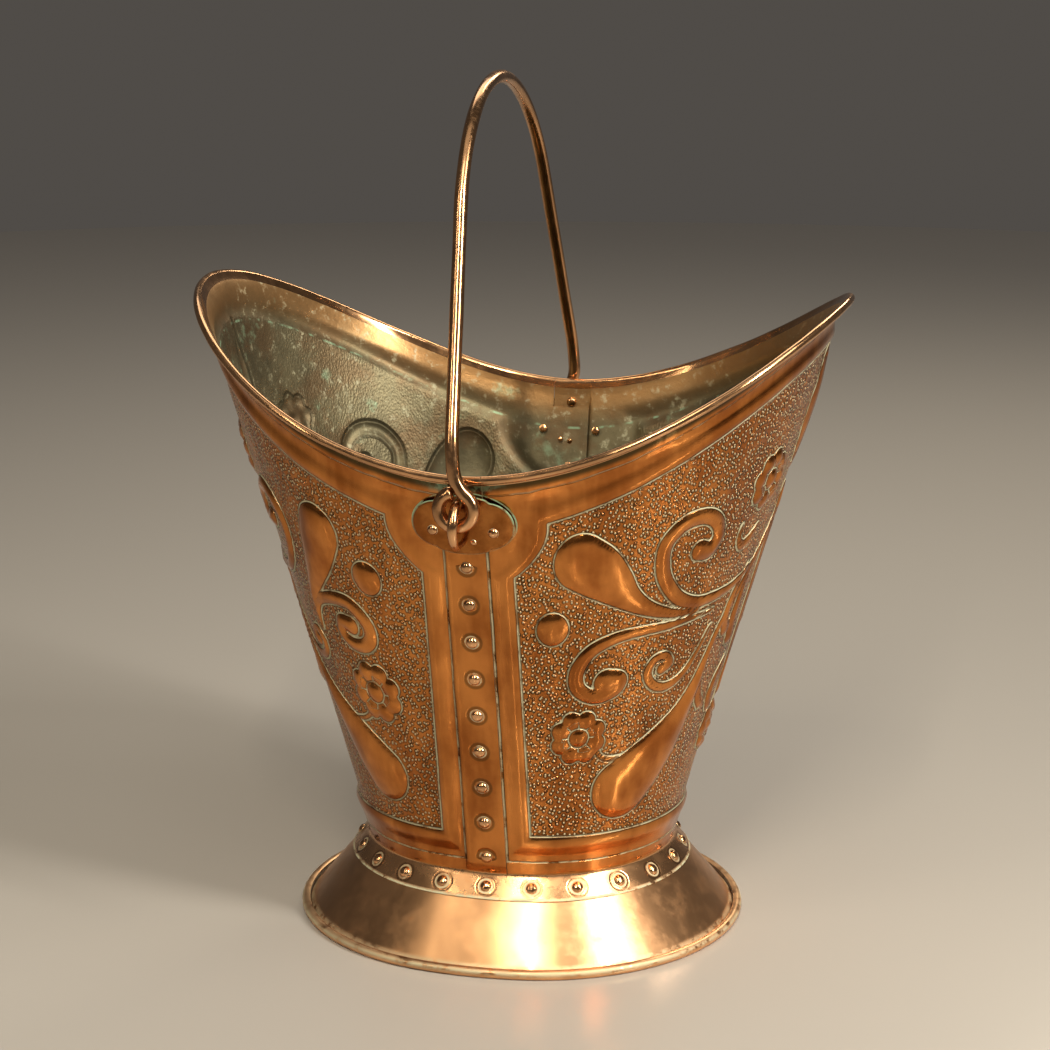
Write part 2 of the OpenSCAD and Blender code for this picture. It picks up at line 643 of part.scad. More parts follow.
// Wire staple: two legs through the wall and a loop in front of the eye
module staple() color(copper) {
    tail_h = 1.4;
    top_in = neck(4) + sheet + seat_gap;
    low_in = sheet + 2 * seat_gap;
    taper_end = half_b(seam_t(staple_low_z)) + plate_out + plate_t + 1.5;
    translate([0, -staple_turn_y, (staple_z + staple_low_z) / 2]) rotate([90, 0, -90])
        rotate([0, 0, -90]) rotate_extrude(angle = 180) translate([staple_span / 2, 0])
            circle(d = staple_d, $fn = 32);
    translate([0, -staple_turn_y - splice_len, staple_z]) rotate([-90, 0, 0])
        cylinder(d = staple_d - 2 * splice,
            h = splice_len + staple_turn_y - half_b(seam_t(staple_z)) + top_in + tail_h / 2);
    translate([0, -staple_turn_y - splice_len, staple_low_z]) rotate([-90, 0, 0])
        cylinder(d1 = staple_d - 2 * splice, d2 = staple_tip_d + 2 * splice,
            h = splice_len + staple_turn_y - taper_end);
    translate([0, -taper_end - splice_len, staple_low_z]) rotate([-90, 0, 0])
        cylinder(d = staple_tip_d,
            h = splice_len + taper_end - half_b(seam_t(staple_low_z)) + low_in + tail_h / 2);
    on_seam(staple_z, -top_in - tail_h) cylinder(d = staple_d * 1.5, h = tail_h);
    on_seam(staple_low_z, -low_in - tail_h) cylinder(d = staple_tip_d * 1.7, h = tail_h);
}
module front_staple() staple();
module back_staple() at_back() staple();

// Round rod: a top arc, two straight legs, a bend at each foot and an S into
// the eye that hangs on the staple
entry_r = eye_r * cos(eye_entry) / (1 - cos(eye_entry));
leg_foot_h = (entry_r + eye_r) * sin(eye_entry);
arch_h = bail_h - leg_foot_h;
top_r = (pivot_y - leg_bend_r * (1 - cos(leg_splay))
    - tan(leg_splay) * (arch_h - leg_bend_r * sin(leg_splay)))
    * cos(leg_splay) / (1 - sin(leg_splay));
leg_len = (arch_h - leg_bend_r * sin(leg_splay) - top_r * (1 - sin(leg_splay))) / cos(leg_splay);

// An arc of the rod, and a thinner one that runs a little way into its neighbours
module rod_arc(r, from, to, d = rod_d)
    rotate([0, 0, from]) rotate_extrude(angle = to - from, $fn = 96)
        translate([r, 0]) circle(d = d, $fn = 32);
module rod_link(r, from, to) {
    extra = splice_len / r * 180 / PI;
    rod_arc(r, from - extra, to + extra, rod_d - 2 * splice);
}

module bail_half() {
    rotate([90, 0, 90]) {
        translate([pivot_y - leg_bend_r, leg_foot_h, 0]) rod_arc(leg_bend_r, 0, leg_splay);
        translate([top_r * cos(leg_splay), bail_h - top_r + top_r * sin(leg_splay), 0])
            rotate([90, 0, leg_splay]) translate([0, 0, -splice_len])
                cylinder(d = rod_d - 2 * splice, h = leg_len + 2 * splice_len);
    }
    translate([0, pivot_y, 0]) rotate([0, 0, 180]) rotate([90, 0, 0]) {
        translate([entry_r, leg_foot_h, 0]) rod_link(entry_r, 180, 180 + eye_entry);
        rod_arc(eye_r, eye_end - 360, eye_entry);
    }
}

module bail_handle() color(copper)
    translate([0, 0, eye_z]) rotate([0, -bail_lean, 0]) {
        rotate([90, 0, 90]) translate([0, bail_h - top_r, 0])
            rod_arc(top_r, leg_splay, 180 - leg_splay);
        bail_half();
        rotate([0, 0, 180]) bail_half();
    }

left_body_shell();
right_body_shell();
rim_wire();
foot_skirt();
foot_wire();
floor_pan();
front_seam_rivets();
back_seam_rivets();
collar_rivets();
front_ear_plate();
back_ear_plate();
front_ear_rivets();
back_ear_rivets();
front_staple();
back_staple();
bail_handle();
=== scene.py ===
"""An old copper coal scuttle with repousse panels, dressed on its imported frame."""

import math

import bpy
import numpy as np
from bpy.props import FloatProperty, FloatVectorProperty, IntProperty, PointerProperty
from mathutils import Matrix, Vector, noise


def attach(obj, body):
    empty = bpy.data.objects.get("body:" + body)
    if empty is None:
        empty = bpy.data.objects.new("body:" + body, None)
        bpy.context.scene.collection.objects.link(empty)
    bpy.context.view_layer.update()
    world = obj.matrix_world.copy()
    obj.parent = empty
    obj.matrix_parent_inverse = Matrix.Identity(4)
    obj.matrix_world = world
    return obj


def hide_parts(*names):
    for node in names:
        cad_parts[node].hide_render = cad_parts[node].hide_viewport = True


bl_info = {
    "name": "Copper Coal Scuttle",
    "version": (1, 0, 0),
    "blender": (4, 5, 0),
    "location": "View3D > Sidebar > Scuttle",
    "description": "Builds a riveted copper coal scuttle with raised ornament",
    "category": "Add Mesh",
}

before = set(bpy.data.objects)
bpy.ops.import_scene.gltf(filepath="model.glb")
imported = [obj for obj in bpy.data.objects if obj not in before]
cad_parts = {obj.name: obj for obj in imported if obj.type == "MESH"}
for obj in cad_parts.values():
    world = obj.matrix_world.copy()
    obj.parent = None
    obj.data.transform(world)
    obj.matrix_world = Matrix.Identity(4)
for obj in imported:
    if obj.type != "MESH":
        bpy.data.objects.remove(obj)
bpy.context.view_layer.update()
MM = 0.001
SEAT = 0.1 * MM         # gap under a rivet's head and under an ear plate
CURL_DEPTH = 3.5 * MM   # depth under the rim where the wall ends and its curl begins
HALF_TURN = Matrix.Rotation(math.pi, 4, "Z")


# ---- Sizes and colours -------------------------------------------------------

def length(name, description, default, **extra):
    return FloatProperty(name=name, description=description, default=default,
                         unit="LENGTH", subtype="DISTANCE", precision=4, **extra)


def colour(name, description, default):
    return FloatVectorProperty(name=name, description=description, default=default,
                               size=3, min=0, max=1, subtype="COLOR")


class BucketSizes(bpy.types.PropertyGroup):
    mouth_a: length("Mouth half length", "Middle to lip", 0.200)
    mouth_b: length("Mouth half width", "Middle to seam at the rim", 0.1468)
    base_a: length("Base half length", "Middle to lip side at the base", 0.098)
    base_b: length("Base half width", "Middle to seam at the base", 0.087)
    base_z: length("Base height", "Floor to the lower end of the wall", 0.0503)
    rim_side_z: length("Rim height at the seams", "Lowest point of the rim", 0.3107)
    rim_lip_z: length("Rim height at the lips", "Highest point of the rim", 0.3976)
    lip_sweep: FloatProperty(name="Lip sweep", description="How late the rim climbs", default=1.83)
    wall_dip: FloatProperty(name="Wall dip", description="How hollow the wall is", default=0.025)
    end_turn: FloatProperty(name="End turn", description="Half angle of a round end",
                            default=math.radians(82.4), subtype="ANGLE")
    lip_neck: length("Neck", "How far the wall is drawn in under a lip", 0.004)
    sheet: length("Sheet", "Thickness of the copper", 0.001)
    rim_bore: length("Rim bore", "Radius of the hollow in the rolled rim", 0.00162)
    lap: length("Lap", "Half width of an overlap", 0.012)
    lap_shift: length("Lap shift", "How far the outer sheet stands out", 0.00115)
    joggle: length("Joggle", "Width of the step beside an overlap", 0.0015)


class FootSizes(bpy.types.PropertyGroup):
    spread: length("Spread", "Base of the wall to the foot's wire", 0.0405)
    collar: length("Collar", "Width of the collar along the slope", 0.0164)
    bore: length("Bore", "Radius of the hollow in the foot's rolled edge", 0.00212)
    wire_z: length("Wire height", "Height of the foot's wire", 0.002736)
    ledge: length("Ledge", "Width of the ledge under the floor", 0.009)
    seat: length("Seat", "Gap between collar and foot", 0.0001)


class FittingSizes(bpy.types.PropertyGroup):
    rivet_d: length("Rivet head", "Diameter of a rivet head", 0.0072)
    rivet_h: length("Rivet height", "Height of a rivet head", 0.0023)
    seam_rivets: IntProperty(name="Seam rivets", description="Rivets in one seam", default=9)
    seam_low_z: length("Lowest seam rivet", "Its height", 0.062)
    seam_high_z: length("Highest seam rivet", "Its height", 0.2565)
    collar_rivets: IntProperty(name="Collar rivets", description="Rivets in the collar",
                               default=22)
    plate_w: length("Ear plate length", "Overall length", 0.061)
    plate_h: length("Ear plate height", "Overall height", 0.038)
    plate_t: length("Ear plate thickness", "Thickness", 0.0016)
    plate_z: length("Ear plate place", "Height of its middle", 0.284)
    plate_rivet_span: length("Ear rivet span", "Between its large rivets", 0.036)
    staple_d: length("Staple", "Diameter of the staple", 0.006)
    staple_tip_d: length("Staple tip", "Diameter of its lower end", 0.0036)
    staple_span: length("Staple span", "Between its two legs", 0.0256)
    rod_d: length("Bail rod", "Diameter of the rod", 0.008)
    bail_h: length("Bail height", "Eye's middle to the top of the arc", 0.2295)
    leg_splay: FloatProperty(name="Leg splay", description="Slope of the bail's legs",
                             default=math.radians(23), subtype="ANGLE")
    leg_bend_r: length("Leg bend", "Radius of the bend at a leg's foot", 0.060)
    eye_r: length("Eye", "Radius of the eye's centre line", 0.010)
    eye_z: length("Eye height", "Height of the hinge line", 0.296)
    pivot_y: length("Eye place", "Middle to the eye, sideways", 0.15702)
    bail_lean: FloatProperty(name="Bail lean", description="How far the bail leans at rest",
                             default=math.radians(3.7), subtype="ANGLE")


class CopperColours(bpy.types.PropertyGroup):
    warm: colour("Warm copper", "Handled metal of the bucket", (0.65, 0.250, 0.063))
    brown: colour("Brown copper", "Duller metal of the bucket", (0.33, 0.104, 0.023))
    pale: colour("Pale copper", "Burnished metal of foot and rivets", (0.93, 0.51, 0.25))
    patina: colour("Inside patina", "Olive brown film inside", (0.20, 0.172, 0.10))
    residue: colour("Residue", "Dried polish in the chased lines", (0.56, 0.54, 0.36))
    # Also the colour of painted shade under the rim bead, round the seam rivets and round the
    # punched dots
    soot_and_shade: colour("Soot", "Dark film in the cuts", (0.050, 0.038, 0.016))
    verdigris: colour("Verdigris", "Green bloom round the fittings", (0.30, 0.48, 0.31))
    iron: colour("Iron wire", "Wire inside the rolled edges", (0.16, 0.15, 0.14))


# ---- The bucket's surface ----------------------------------------------------

class Bucket:
    """Plan ovals of four arcs that grow from the base to the saddle of the rim.

    Stations count round one half: -1 to 1 is the round end about the lip, up to
    2 the flatter side, 2 to 3 the joggle and 3 to 4 the overlap of the seam."""

    def __init__(self, size):
        self.size = size

    def arcs(self, a, b):
        turn = self.size.end_turn
        shift = (a - b) / (1 + math.tan(turn) - 1 / math.cos(turn))
        return shift, a - shift, b + shift * math.tan(turn)

    def plan(self, w, a, b):
        turn = self.size.end_turn
        shift, end_r, side_r = self.arcs(a, b)
        on_end = np.abs(np.sin(w)) <= math.sin(turn) + 1e-9
        x = np.where(on_end, np.sign(np.cos(w)) * shift + end_r * np.cos(w),
                     side_r * np.cos(w))
        y = np.where(on_end, end_r * np.sin(w),
                     side_r * np.sin(w) - np.sign(np.sin(w)) * shift * math.tan(turn))
        return x, y

    def turn(self, s, a, b):
        size = self.size
        side_r = self.arcs(a, b)[2]
        join = side_r * math.cos(size.end_turn)
        u = np.abs(s)
        x = np.where(u <= 2, join + (size.lap + size.joggle - join) * (u - 1),
                     np.where(u <= 3, size.lap + size.joggle * (3 - u), size.lap * (7 - 2 * u)))
        on_side = np.sign(s) * np.arccos(np.clip(x / side_r, -1, 1))
        return np.where(u <= 1, s * size.end_turn, on_side)

    def swell(self, t):
        return t - 4 * self.size.wall_dip * t * (1 - t)

    def halves(self, t):
        size, grow = self.size, self.swell(t)
        return (size.base_a + (size.mouth_a - size.base_a) * grow,
                size.base_b + (size.mouth_b - size.base_b) * grow)

    def rim_x(self, s):
        size = self.size
        return self.plan(self.turn(s, size.mouth_a, size.mouth_b), size.mouth_a, size.mouth_b)[0]

    def wall_h(self, s):
        size = self.size
        climb = (np.abs(self.rim_x(s)) / size.mouth_a) ** size.lip_sweep
        return size.rim_side_z + (size.rim_lip_z - size.rim_side_z) * climb - size.base_z

    def point(self, s, t, out=0.0, up=0.0):
        """Point at station s and height share t, moved out and up."""
        a, b = self.halves(t)
        w = self.turn(s, a, b)
        x, y = self.plan(w, a, b)
        return np.stack([x + out * np.cos(w), y + out * np.sin(w),
                         self.size.base_z + t * self.wall_h(s) + up], -1)

    def across(self, s, t):
        """Distance along the wall from the lip line, and from there to the seam."""
        turn = self.size.end_turn
        a, b = self.halves(t)
        _, end_r, side_r = self.arcs(a, b)
        w = np.abs(self.turn(s, a, b))
        along = end_r * np.minimum(w, turn) + side_r * np.maximum(0, w - turn)
        return along, end_r * turn + side_r * (math.pi / 2 - turn)

    def seam(self, z):
        """Half width at height z beside the seam, and the wall's lean and radius there."""
        size = self.size
        wall_h = size.rim_side_z - size.base_z
        t = (z - size.base_z) / wall_h
        slope = (size.mouth_b - size.base_b) / wall_h
        lean = math.atan(slope * (1 - 4 * size.wall_dip * (1 - 2 * t)))
        a, b = self.halves(t)
        return b, lean, self.arcs(a, b)[2] / math.cos(lean)


def sizes():
    """The bucket's surface, and the sizes of its foot and fittings."""
    scene = bpy.context.scene
    return Bucket(scene.scuttle_bucket), scene.scuttle_foot, scene.scuttle_fittings


def smooth(low, high, x):
    """0 below low, 1 above high and soft between."""
    share = np.clip((x - low) / (high - low), 0, 1)
    return share * share * (3 - 2 * share)


# ---- Ornament, in millimetres across from the lip line and up from the base ----

def through(points, steps=7):
    """Points on a smooth curve through the given ones, each with its half width."""
    rows = np.array(points, float)
    rows = np.vstack([2 * rows[0] - rows[1], rows, 2 * rows[-1] - rows[-2]])
    found = []
    for before, start, end, after in zip(rows, rows[1:], rows[2:], rows[3:]):
        for u in np.arange(steps) / steps:
            found.append(0.5 * (2 * start + (end - before) * u
                                + (2 * before - 5 * start + 4 * end - after) * u ** 2
                                + (3 * start - before - 3 * end + after) * u ** 3))
    return np.array(found + [rows[-2]])


def stroke_distance(x, y, points):
    """How far inside a stroke of changing width each place is, below zero outside."""
    path = through(points)
    best = np.full(x.shape, -FAR)
    for (x0, y0, r0), (x1, y1, r1) in zip(path, path[1:]):
        dx, dy = x1 - x0, y1 - y0
        share = np.clip(((x - x0) * dx + (y - y0) * dy) / max(dx * dx + dy * dy, 1e-9), 0, 1)
        gap = np.hypot(x - x0 - share * dx, y - y0 - share * dy)
        best = np.maximum(best, r0 + (r1 - r0) * share - gap)
    return best


# Forms that both quarters of a half shell share, beside the lip line
MIDDLE_FORMS = [
    [(47, 137, 3), (44, 152, 2.6), (36, 168, 2.8), (24, 186, 2.8), (12, 202, 2.4),
     (0, 216, 2.2)],
    [(0, 98, 1.4), (0, 130, 2.2), (0, 170, 2.8), (0, 216, 2.4), (0, 236, 1.2)],
    [(0, 322, 0.8), (0, 304, 4), (0, 284, 6.6), (0, 266, 5), (0, 250, 1.6)],
    [(30, 192, 1), (38, 176, 2.4), (39, 160, 4), (33, 150, 5)],
    [(20, 196, 1), (24, 176, 2.6), (25, 156, 4.6), (20, 142, 5.6)],
    [(47, 138, 1), (46, 122, 2.4), (40, 108, 3.6), (34, 102, 4)],
    [(12, 128, 1), (20, 116, 2.4), (22, 104, 3.6), (18, 96, 4)],
]
# Drops, scrolls, curl and flower stem of the panel to the right of a seam
RIGHT_FORMS = [
    [(181, 211, 18), (167, 205, 16.8), (152, 196.5, 12.8), (137, 187, 8), (120, 179, 4.9),
     (98, 173, 2.9), (77, 171.5, 1.6)],
    [(84, 58, 21), (74, 70, 19), (64, 84, 15), (55, 101, 9.6), (50, 118, 5.8), (47, 137, 3)],
    [(60, 169, 1.2), (80, 167, 1.8), (100, 165, 2.6), (117, 164, 3), (134, 161, 3.6),
     (147, 153, 4.2), (150.5, 140, 4.8), (144.5, 128.5, 4.8), (131, 122.5, 4.4), (120, 126, 4.6),
     (119.5, 132, 6.5), (127, 132, 8.5)],
    [(56, 158, 1.2), (60, 144.5, 1.8), (67, 130, 2.4), (78, 123.5, 2.9), (90, 125.5, 3),
     (99, 134, 3), (98, 143, 2.8), (90.5, 145, 2.6), (84, 139, 3), (89, 136.5, 4)],
    [(16, 196, 1.2), (28, 188, 2), (46, 180.5, 2.8), (62, 178, 3.2), (80, 177, 3.8),
     (97, 182, 4.4), (111, 192, 4.8), (121, 204, 5.2), (126, 219, 5.2), (118, 231, 5.2),
     (103, 234, 5), (90, 229, 5), (83, 219, 5), (87, 211, 5.6), (96, 212, 6.4)],
    [(60, 222, 1), (58, 212, 2.4), (51, 207, 3.4), (44, 211, 2.6), (38, 218, 1.2)],
    [(116, 87, 1.6), (106, 80, 1.6), (92, 80, 1.2)],
]
RIGHT_FLOWERS = [(129.7, 95.4, 18.2), (44, 247, 19), (0, 78, 17)]
RIGHT_BOSS = (179.3, 167.5, 10.5)
# The same for the panel to the left of a seam
LEFT_FORMS = [
    [(147, 218, 17.6), (139, 209, 16.2), (130, 198, 12.8), (119, 186, 8.6), (110, 176, 5.6),
     (104, 166, 3.6), (100, 154, 2)],
    [(104, 60, 19), (96, 72, 17), (87, 86, 12.5), (78, 99, 8.5), (69, 112, 5), (58, 126, 3.4),
     (47, 137, 3)],
    [(100, 150, 1.4), (104, 162, 2.6), (113, 170, 3.4), (130, 174, 4.2), (145, 172.5, 4.8),
     (152.5, 162, 5), (150, 152, 5), (141, 146, 4.8), (130, 146, 4.4), (124.5, 152, 4),
     (129, 159, 5), (137, 158, 6)],
    [(56, 158, 1.2), (61, 146, 1.8), (68, 134, 2.4), (79, 129, 2.9), (89, 132, 3), (94, 139, 3),
     (91, 146, 2.8), (85, 146.5, 2.6), (81, 142, 3), (85, 139, 4)],
    [(16, 196, 1.2), (28, 189, 2), (46, 183, 2.8), (62, 182, 3.2), (78, 184, 3.8), (90, 192, 4.4),
     (99, 203, 4.8), (103, 216, 5.2), (98, 229, 5.2), (86, 235, 5.2), (74, 231, 5), (68, 221, 5),
     (72, 213, 5.6), (80, 214, 6.2)],
    [(50, 224, 1), (48, 214, 2.2), (42, 209, 3), (36, 213, 2.4), (31, 220, 1.2)],
    [(119, 101, 1.6), (108, 95, 1.6), (92, 93, 1.2)],
]
LEFT_FLOWERS = [(131, 115.4, 20), (44, 250, 19), (0, 78, 17)]
LEFT_BOSS = (172.5, 191.8, 10.8)
PETALS = 8
PETAL_REACH = 0.62      # share of a flower's radius that the slits between its petals reach
EYE_R = 0.36            # share of a flower's radius that its middle takes up
CONE_R = 290.0          # from the tip of the cone that the wall nearly is to its base, mm
FAR = 99.0              # further than any place on the wall, mm


def rolled_out(x, y):
    """Where a place on the wall lies, in mm, when the wall is rolled out flat."""
    reach = CONE_R + y
    return reach * np.sin(x / reach), reach * np.cos(x / reach) - CONE_R


def laid_out(points):
    """Points with their sizes, moved to where they lie on the rolled-out wall."""
    return [(*rolled_out(across, up), size) for across, up, size in points]


def one_panel(x, y, forms, flowers, boss):
    """Signed distances in mm: into a raised form, into the part of it that is domed by
    itself, into a flower's eye and to the slits between its petals."""
    x, y = rolled_out(x, y)
    boss_x, boss_y, boss_r = laid_out([boss])[0]
    form = boss_r - np.hypot(x - boss_x, y - boss_y)
    for points in MIDDLE_FORMS + forms:
        form = np.maximum(form, stroke_distance(x, y, laid_out(points)))
    hump = form.copy()
    eye = np.full(x.shape, -FAR)
    slit = np.full(x.shape, 9.0)
    for flower_x, flower_y, radius in laid_out(flowers):
        dx, dy = x - flower_x, y - flower_y
        reach, wave = np.hypot(dx, dy), np.cos(np.arctan2(dy, dx) * PETALS / 2)
        edge = radius * (0.78 + 0.22 * np.abs(wave) ** 0.6)
        form = np.maximum(form, edge - reach)
        to_slit = reach * wave / (PETALS / 2)
        middle = EYE_R * radius - reach
        spike = np.abs(to_slit) * 1.3 + 0.6 + 3 * smooth(0.5, 0.75, reach / radius)
        petal = np.minimum(spike, np.abs(middle) * 1.3 + 0.2)
        hump = np.maximum(hump, np.minimum(edge - reach, np.maximum(petal, middle * 1.5 + 0.2)))
        eye = np.maximum(eye, middle)
        slit = np.where(reach < PETAL_REACH * radius, to_slit, slit)
    return form, hump, eye, slit


def ornament(side, x, y):
    """The quarter before the lip line has the right pattern, the one behind it the left."""
    right = one_panel(x, y, RIGHT_FORMS, RIGHT_FLOWERS, RIGHT_BOSS)
    left = one_panel(x, y, LEFT_FORMS, LEFT_FLOWERS, LEFT_BOSS)
    return [np.where(side < 0, r, l) for r, l in zip(right, left)]


SIDE_BORDER = 27.0      # seam to the panel's side line
BOTTOM_BORDER = 27.0    # base to the panel's lowest line
CORNER_UP = 201.0       # height where the side line turns in round the ear
CORNER_REACH = 21.0     # how far it turns in
CORNER_RISE = 33.0      # and over what height
TOP_BORDER = 24.5       # rim to the panel's top line at the lip
TOP_SLOPE = 0.035       # how much further it is towards the seam


def panel_distance(x, y, seam, rim):
    """How far inside the sunk panel each place is, in mm."""
    climb = np.clip((y - CORNER_UP) / CORNER_RISE, 0, 1)
    side = seam - x - SIDE_BORDER - CORNER_REACH * np.sin(climb * math.pi / 2) ** 0.85
    top = rim - (TOP_BORDER + TOP_SLOPE * x) - y
    return np.minimum(np.minimum(side, top * 0.9), y - BOTTOM_BORDER)


SUNK = 1.2              # depth of the panel's ground under its border, mm
DOME_W = 17.0           # a form wider than this is domed no further
DOME_H = 4.2            # top of a dome over the plain sheet
BORDER_H = 1.5          # crown of the rounded border beside the panel
BORDER_W = 13.5         # width of that border
STRIP = 12.8            # seam to the line beside the riveted strip
COLLAR_LINE = 9.5       # base to the line above the collar
RIM_LINE = 10.0         # rim to the line under it


def relief(hump, panel, seam, up, depth):
    """Height of the worked sheet over the plain one, in mm."""
    inside = np.clip(hump / DOME_W, 0, 1)
    dome = DOME_H * (1 - (1 - inside) ** 2) ** 0.7
    ground = -SUNK * smooth(0, 3.0, panel)
    crown = smooth(-0.5, 3.5, -panel) * smooth(BORDER_W + 1, 3.5, -panel)
    free = (smooth(STRIP, STRIP + 4, seam) * smooth(COLLAR_LINE, COLLAR_LINE + 5, up)
            * smooth(RIM_LINE, RIM_LINE + 5, depth))
    return ground + BORDER_H * crown * free + np.where(panel > 0, dome, 0)


# ---- Mesh helpers ------------------------------------------------------------

def deselect():
    if bpy.context.object and bpy.context.object.mode != "OBJECT":
        bpy.ops.object.mode_set(mode="OBJECT")
    bpy.ops.object.select_all(action="DESELECT")


def only(*pieces):
    """Selects these pieces alone and makes the first of them active."""
    deselect()
    for piece in pieces:
        piece.select_set(True)
    bpy.context.view_layer.objects.active = pieces[0]


def edit(piece, operator, **settings):
    """Runs a mesh operator on the whole piece."""
    only(piece)
    bpy.ops.object.mode_set(mode="EDIT")
    bpy.ops.mesh.select_all(action="SELECT")
    operator(**settings)
    bpy.ops.object.mode_set(mode="OBJECT")


def close_up(piece):
    """Joins the edges that meet and turns every face outwards."""
    edit(piece, bpy.ops.mesh.remove_doubles, threshold=1e-6)
    edit(piece, bpy.ops.mesh.normals_make_consistent, inside=False)


def face_along(piece, direction):
    """Flips all faces if the middle one looks against the direction found at its centre."""
    middle = piece.data.polygons[len(piece.data.polygons) // 2]
    if middle.normal.dot(direction(middle.center)) < 0:
        edit(piece, bpy.ops.mesh.flip_normals)


def modify(piece, kind, **settings):
    """Adds a modifier and applies it."""
    added = piece.modifiers.new(kind.title(), kind)
    for name, value in settings.items():
        setattr(added, name, value)
    only(piece)
    bpy.ops.object.modifier_apply(modifier=added.name)


def set_points(piece, points):
    piece.data.vertices.foreach_set("co", np.asarray(points, np.float32).reshape(-1))
    piece.data.update()


def attributes(piece, **named):
    """Numbers for each vertex, under names that the materials read."""
    for name, values in named.items():
        layer = piece.data.attributes.new(name, "FLOAT", "POINT")
        layer.data.foreach_set("value", np.asarray(values, np.float32).reshape(-1))


def laid_grid(name, columns, rows):
    """A flat grid, and the column and row number of each of its vertices."""
    deselect()
    bpy.ops.mesh.primitive_grid_add(x_subdivisions=columns - 1, y_subdivisions=rows - 1, size=2)
    piece = bpy.context.object
    piece.name = piece.data.name = name
    flat = np.zeros(len(piece.data.vertices) * 3)
    piece.data.vertices.foreach_get("co", flat)
    flat = flat.reshape(-1, 3)
    column = np.rint((flat[:, 0] + 1) / 2 * (columns - 1)).astype(int)
    row = np.rint((flat[:, 1] + 1) / 2 * (rows - 1)).astype(int)
    return piece, column, row


def shade(piece, angle=50):
    only(piece)
    bpy.ops.object.shade_smooth_by_angle(angle=math.radians(angle))


def coat(mesh, finish):
    mesh.materials.clear()
    mesh.materials.append(material(finish))


def settle(piece, body, nodes, finish=None):
    """Coats the piece, puts its place into its mesh and hangs it on its body."""
    if finish:
        coat(piece.data, finish)
    only(piece)
    bpy.ops.object.transform_apply(location=True, rotation=True, scale=True)
    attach(piece, body)
    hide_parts(*nodes)
    deselect()


def join(pieces, name):
    only(*pieces)
    bpy.ops.object.join()
    pieces[0].name = pieces[0].data.name = name
    return pieces[0]


def rough_up(piece, height, wave, seed):
    """Pushes vertices along their normals by soft hammer marks."""
    mesh = piece.data
    shift = Vector((seed * 3.1, seed * 1.7, seed * 0.9))
    moved = [v.co + v.normal * height * noise.noise(v.co / wave + shift) for v in mesh.vertices]
    set_points(piece, moved)


# How a rod's end rounds off: share of its radius, and how far out in radii
ROD_END = ((0.95, 0.12), (0.8, 0.24), (0.5, 0.344), (0.0, 0.392))


def tube(name, path, radii, sides=28):
    """Round rod along the points of a path, rounded off at both ends."""
    path = [Vector(p) for p in path]
    tangents = [(path[min(i + 1, len(path) - 1)] - path[max(i - 1, 0)]).normalized()
                for i in range(len(path))]
    first, last = [[(path[end] + way * tangents[end] * radii[end] * out, tangents[end],
                     radii[end] * share) for share, out in ROD_END]
                   for end, way in ((0, -1), (-1, 1))]
    side = tangents[0].orthogonal().normalized()
    points = []
    for centre, along, radius in first[::-1] + list(zip(path, tangents, radii)) + last:
        side = (side - along * side.dot(along)).normalized()
        other = along.cross(side)
        points.append([centre + radius * (math.cos(t) * side + math.sin(t) * other)
                       for t in (2 * math.pi * i / sides for i in range(sides + 1))])
    piece, column, row = laid_grid(name, sides + 1, len(points))
    set_points(piece, [points[j][i] for i, j in zip(column, row)])
    close_up(piece)
    shade(piece)
    return piece


def arc(centre, radius, start, end, steps):
    """Points of an arc in the plane, angles in radians."""
    return [(centre[0] + radius * math.cos(a), centre[1] + radius * math.sin(a))
            for a in np.linspace(start, end, steps + 1)]


# ---- Materials ---------------------------------------------------------------

def math_node(operation):
    """Method that adds one Math node on the value and on the number or value given."""
    def method(self, *others):
        return self.graph.node("ShaderNodeMath", {"operation": operation}, (self, *others))
    return method


class Value:
    """A number that changes over a surface, with sums that add Math nodes."""

    def __init__(self, graph, socket):
        self.graph = graph
        self.socket = socket

    __add__ = __radd__ = math_node("ADD")
    __mul__ = __rmul__ = math_node("MULTIPLY")
    __sub__ = math_node("SUBTRACT")
    __truediv__ = math_node("DIVIDE")
    size = math_node("ABSOLUTE")
    fract = math_node("FRACT")
    root = math_node("SQRT")
    least = math_node("MINIMUM")
    most = math_node("MAXIMUM")

    def __rsub__(self, other):
        return self.graph.node("ShaderNodeMath", {"operation": "SUBTRACT"}, (other, self))

    def length_with(self, other):
        """Length of the line that has this and the other as its two sides."""
        return (self * self + other * other).root()

    def other(self, output):
        """Another output of the same node."""
        return Value(self.graph, self.socket.node.outputs[output])

    def step(self, low, high):
        """0 below low, 1 above high, soft between, and the other way round if low is higher."""
        rising = self.graph.node("ShaderNodeMapRange", {"interpolation_type": "SMOOTHSTEP"},
                                 {"Value": self, "From Min": min(low, high),
                                  "From Max": max(low, high)})
        return rising if low < high else 1 - rising

    def size_from(self, middle):
        """How far the number is from the middle."""
        return (self - middle).size()

    def band(self, middle, outer, inner):
        """1 where the number is within inner of the middle, 0 where it is beyond outer."""
        return self.size_from(middle).step(outer, inner)


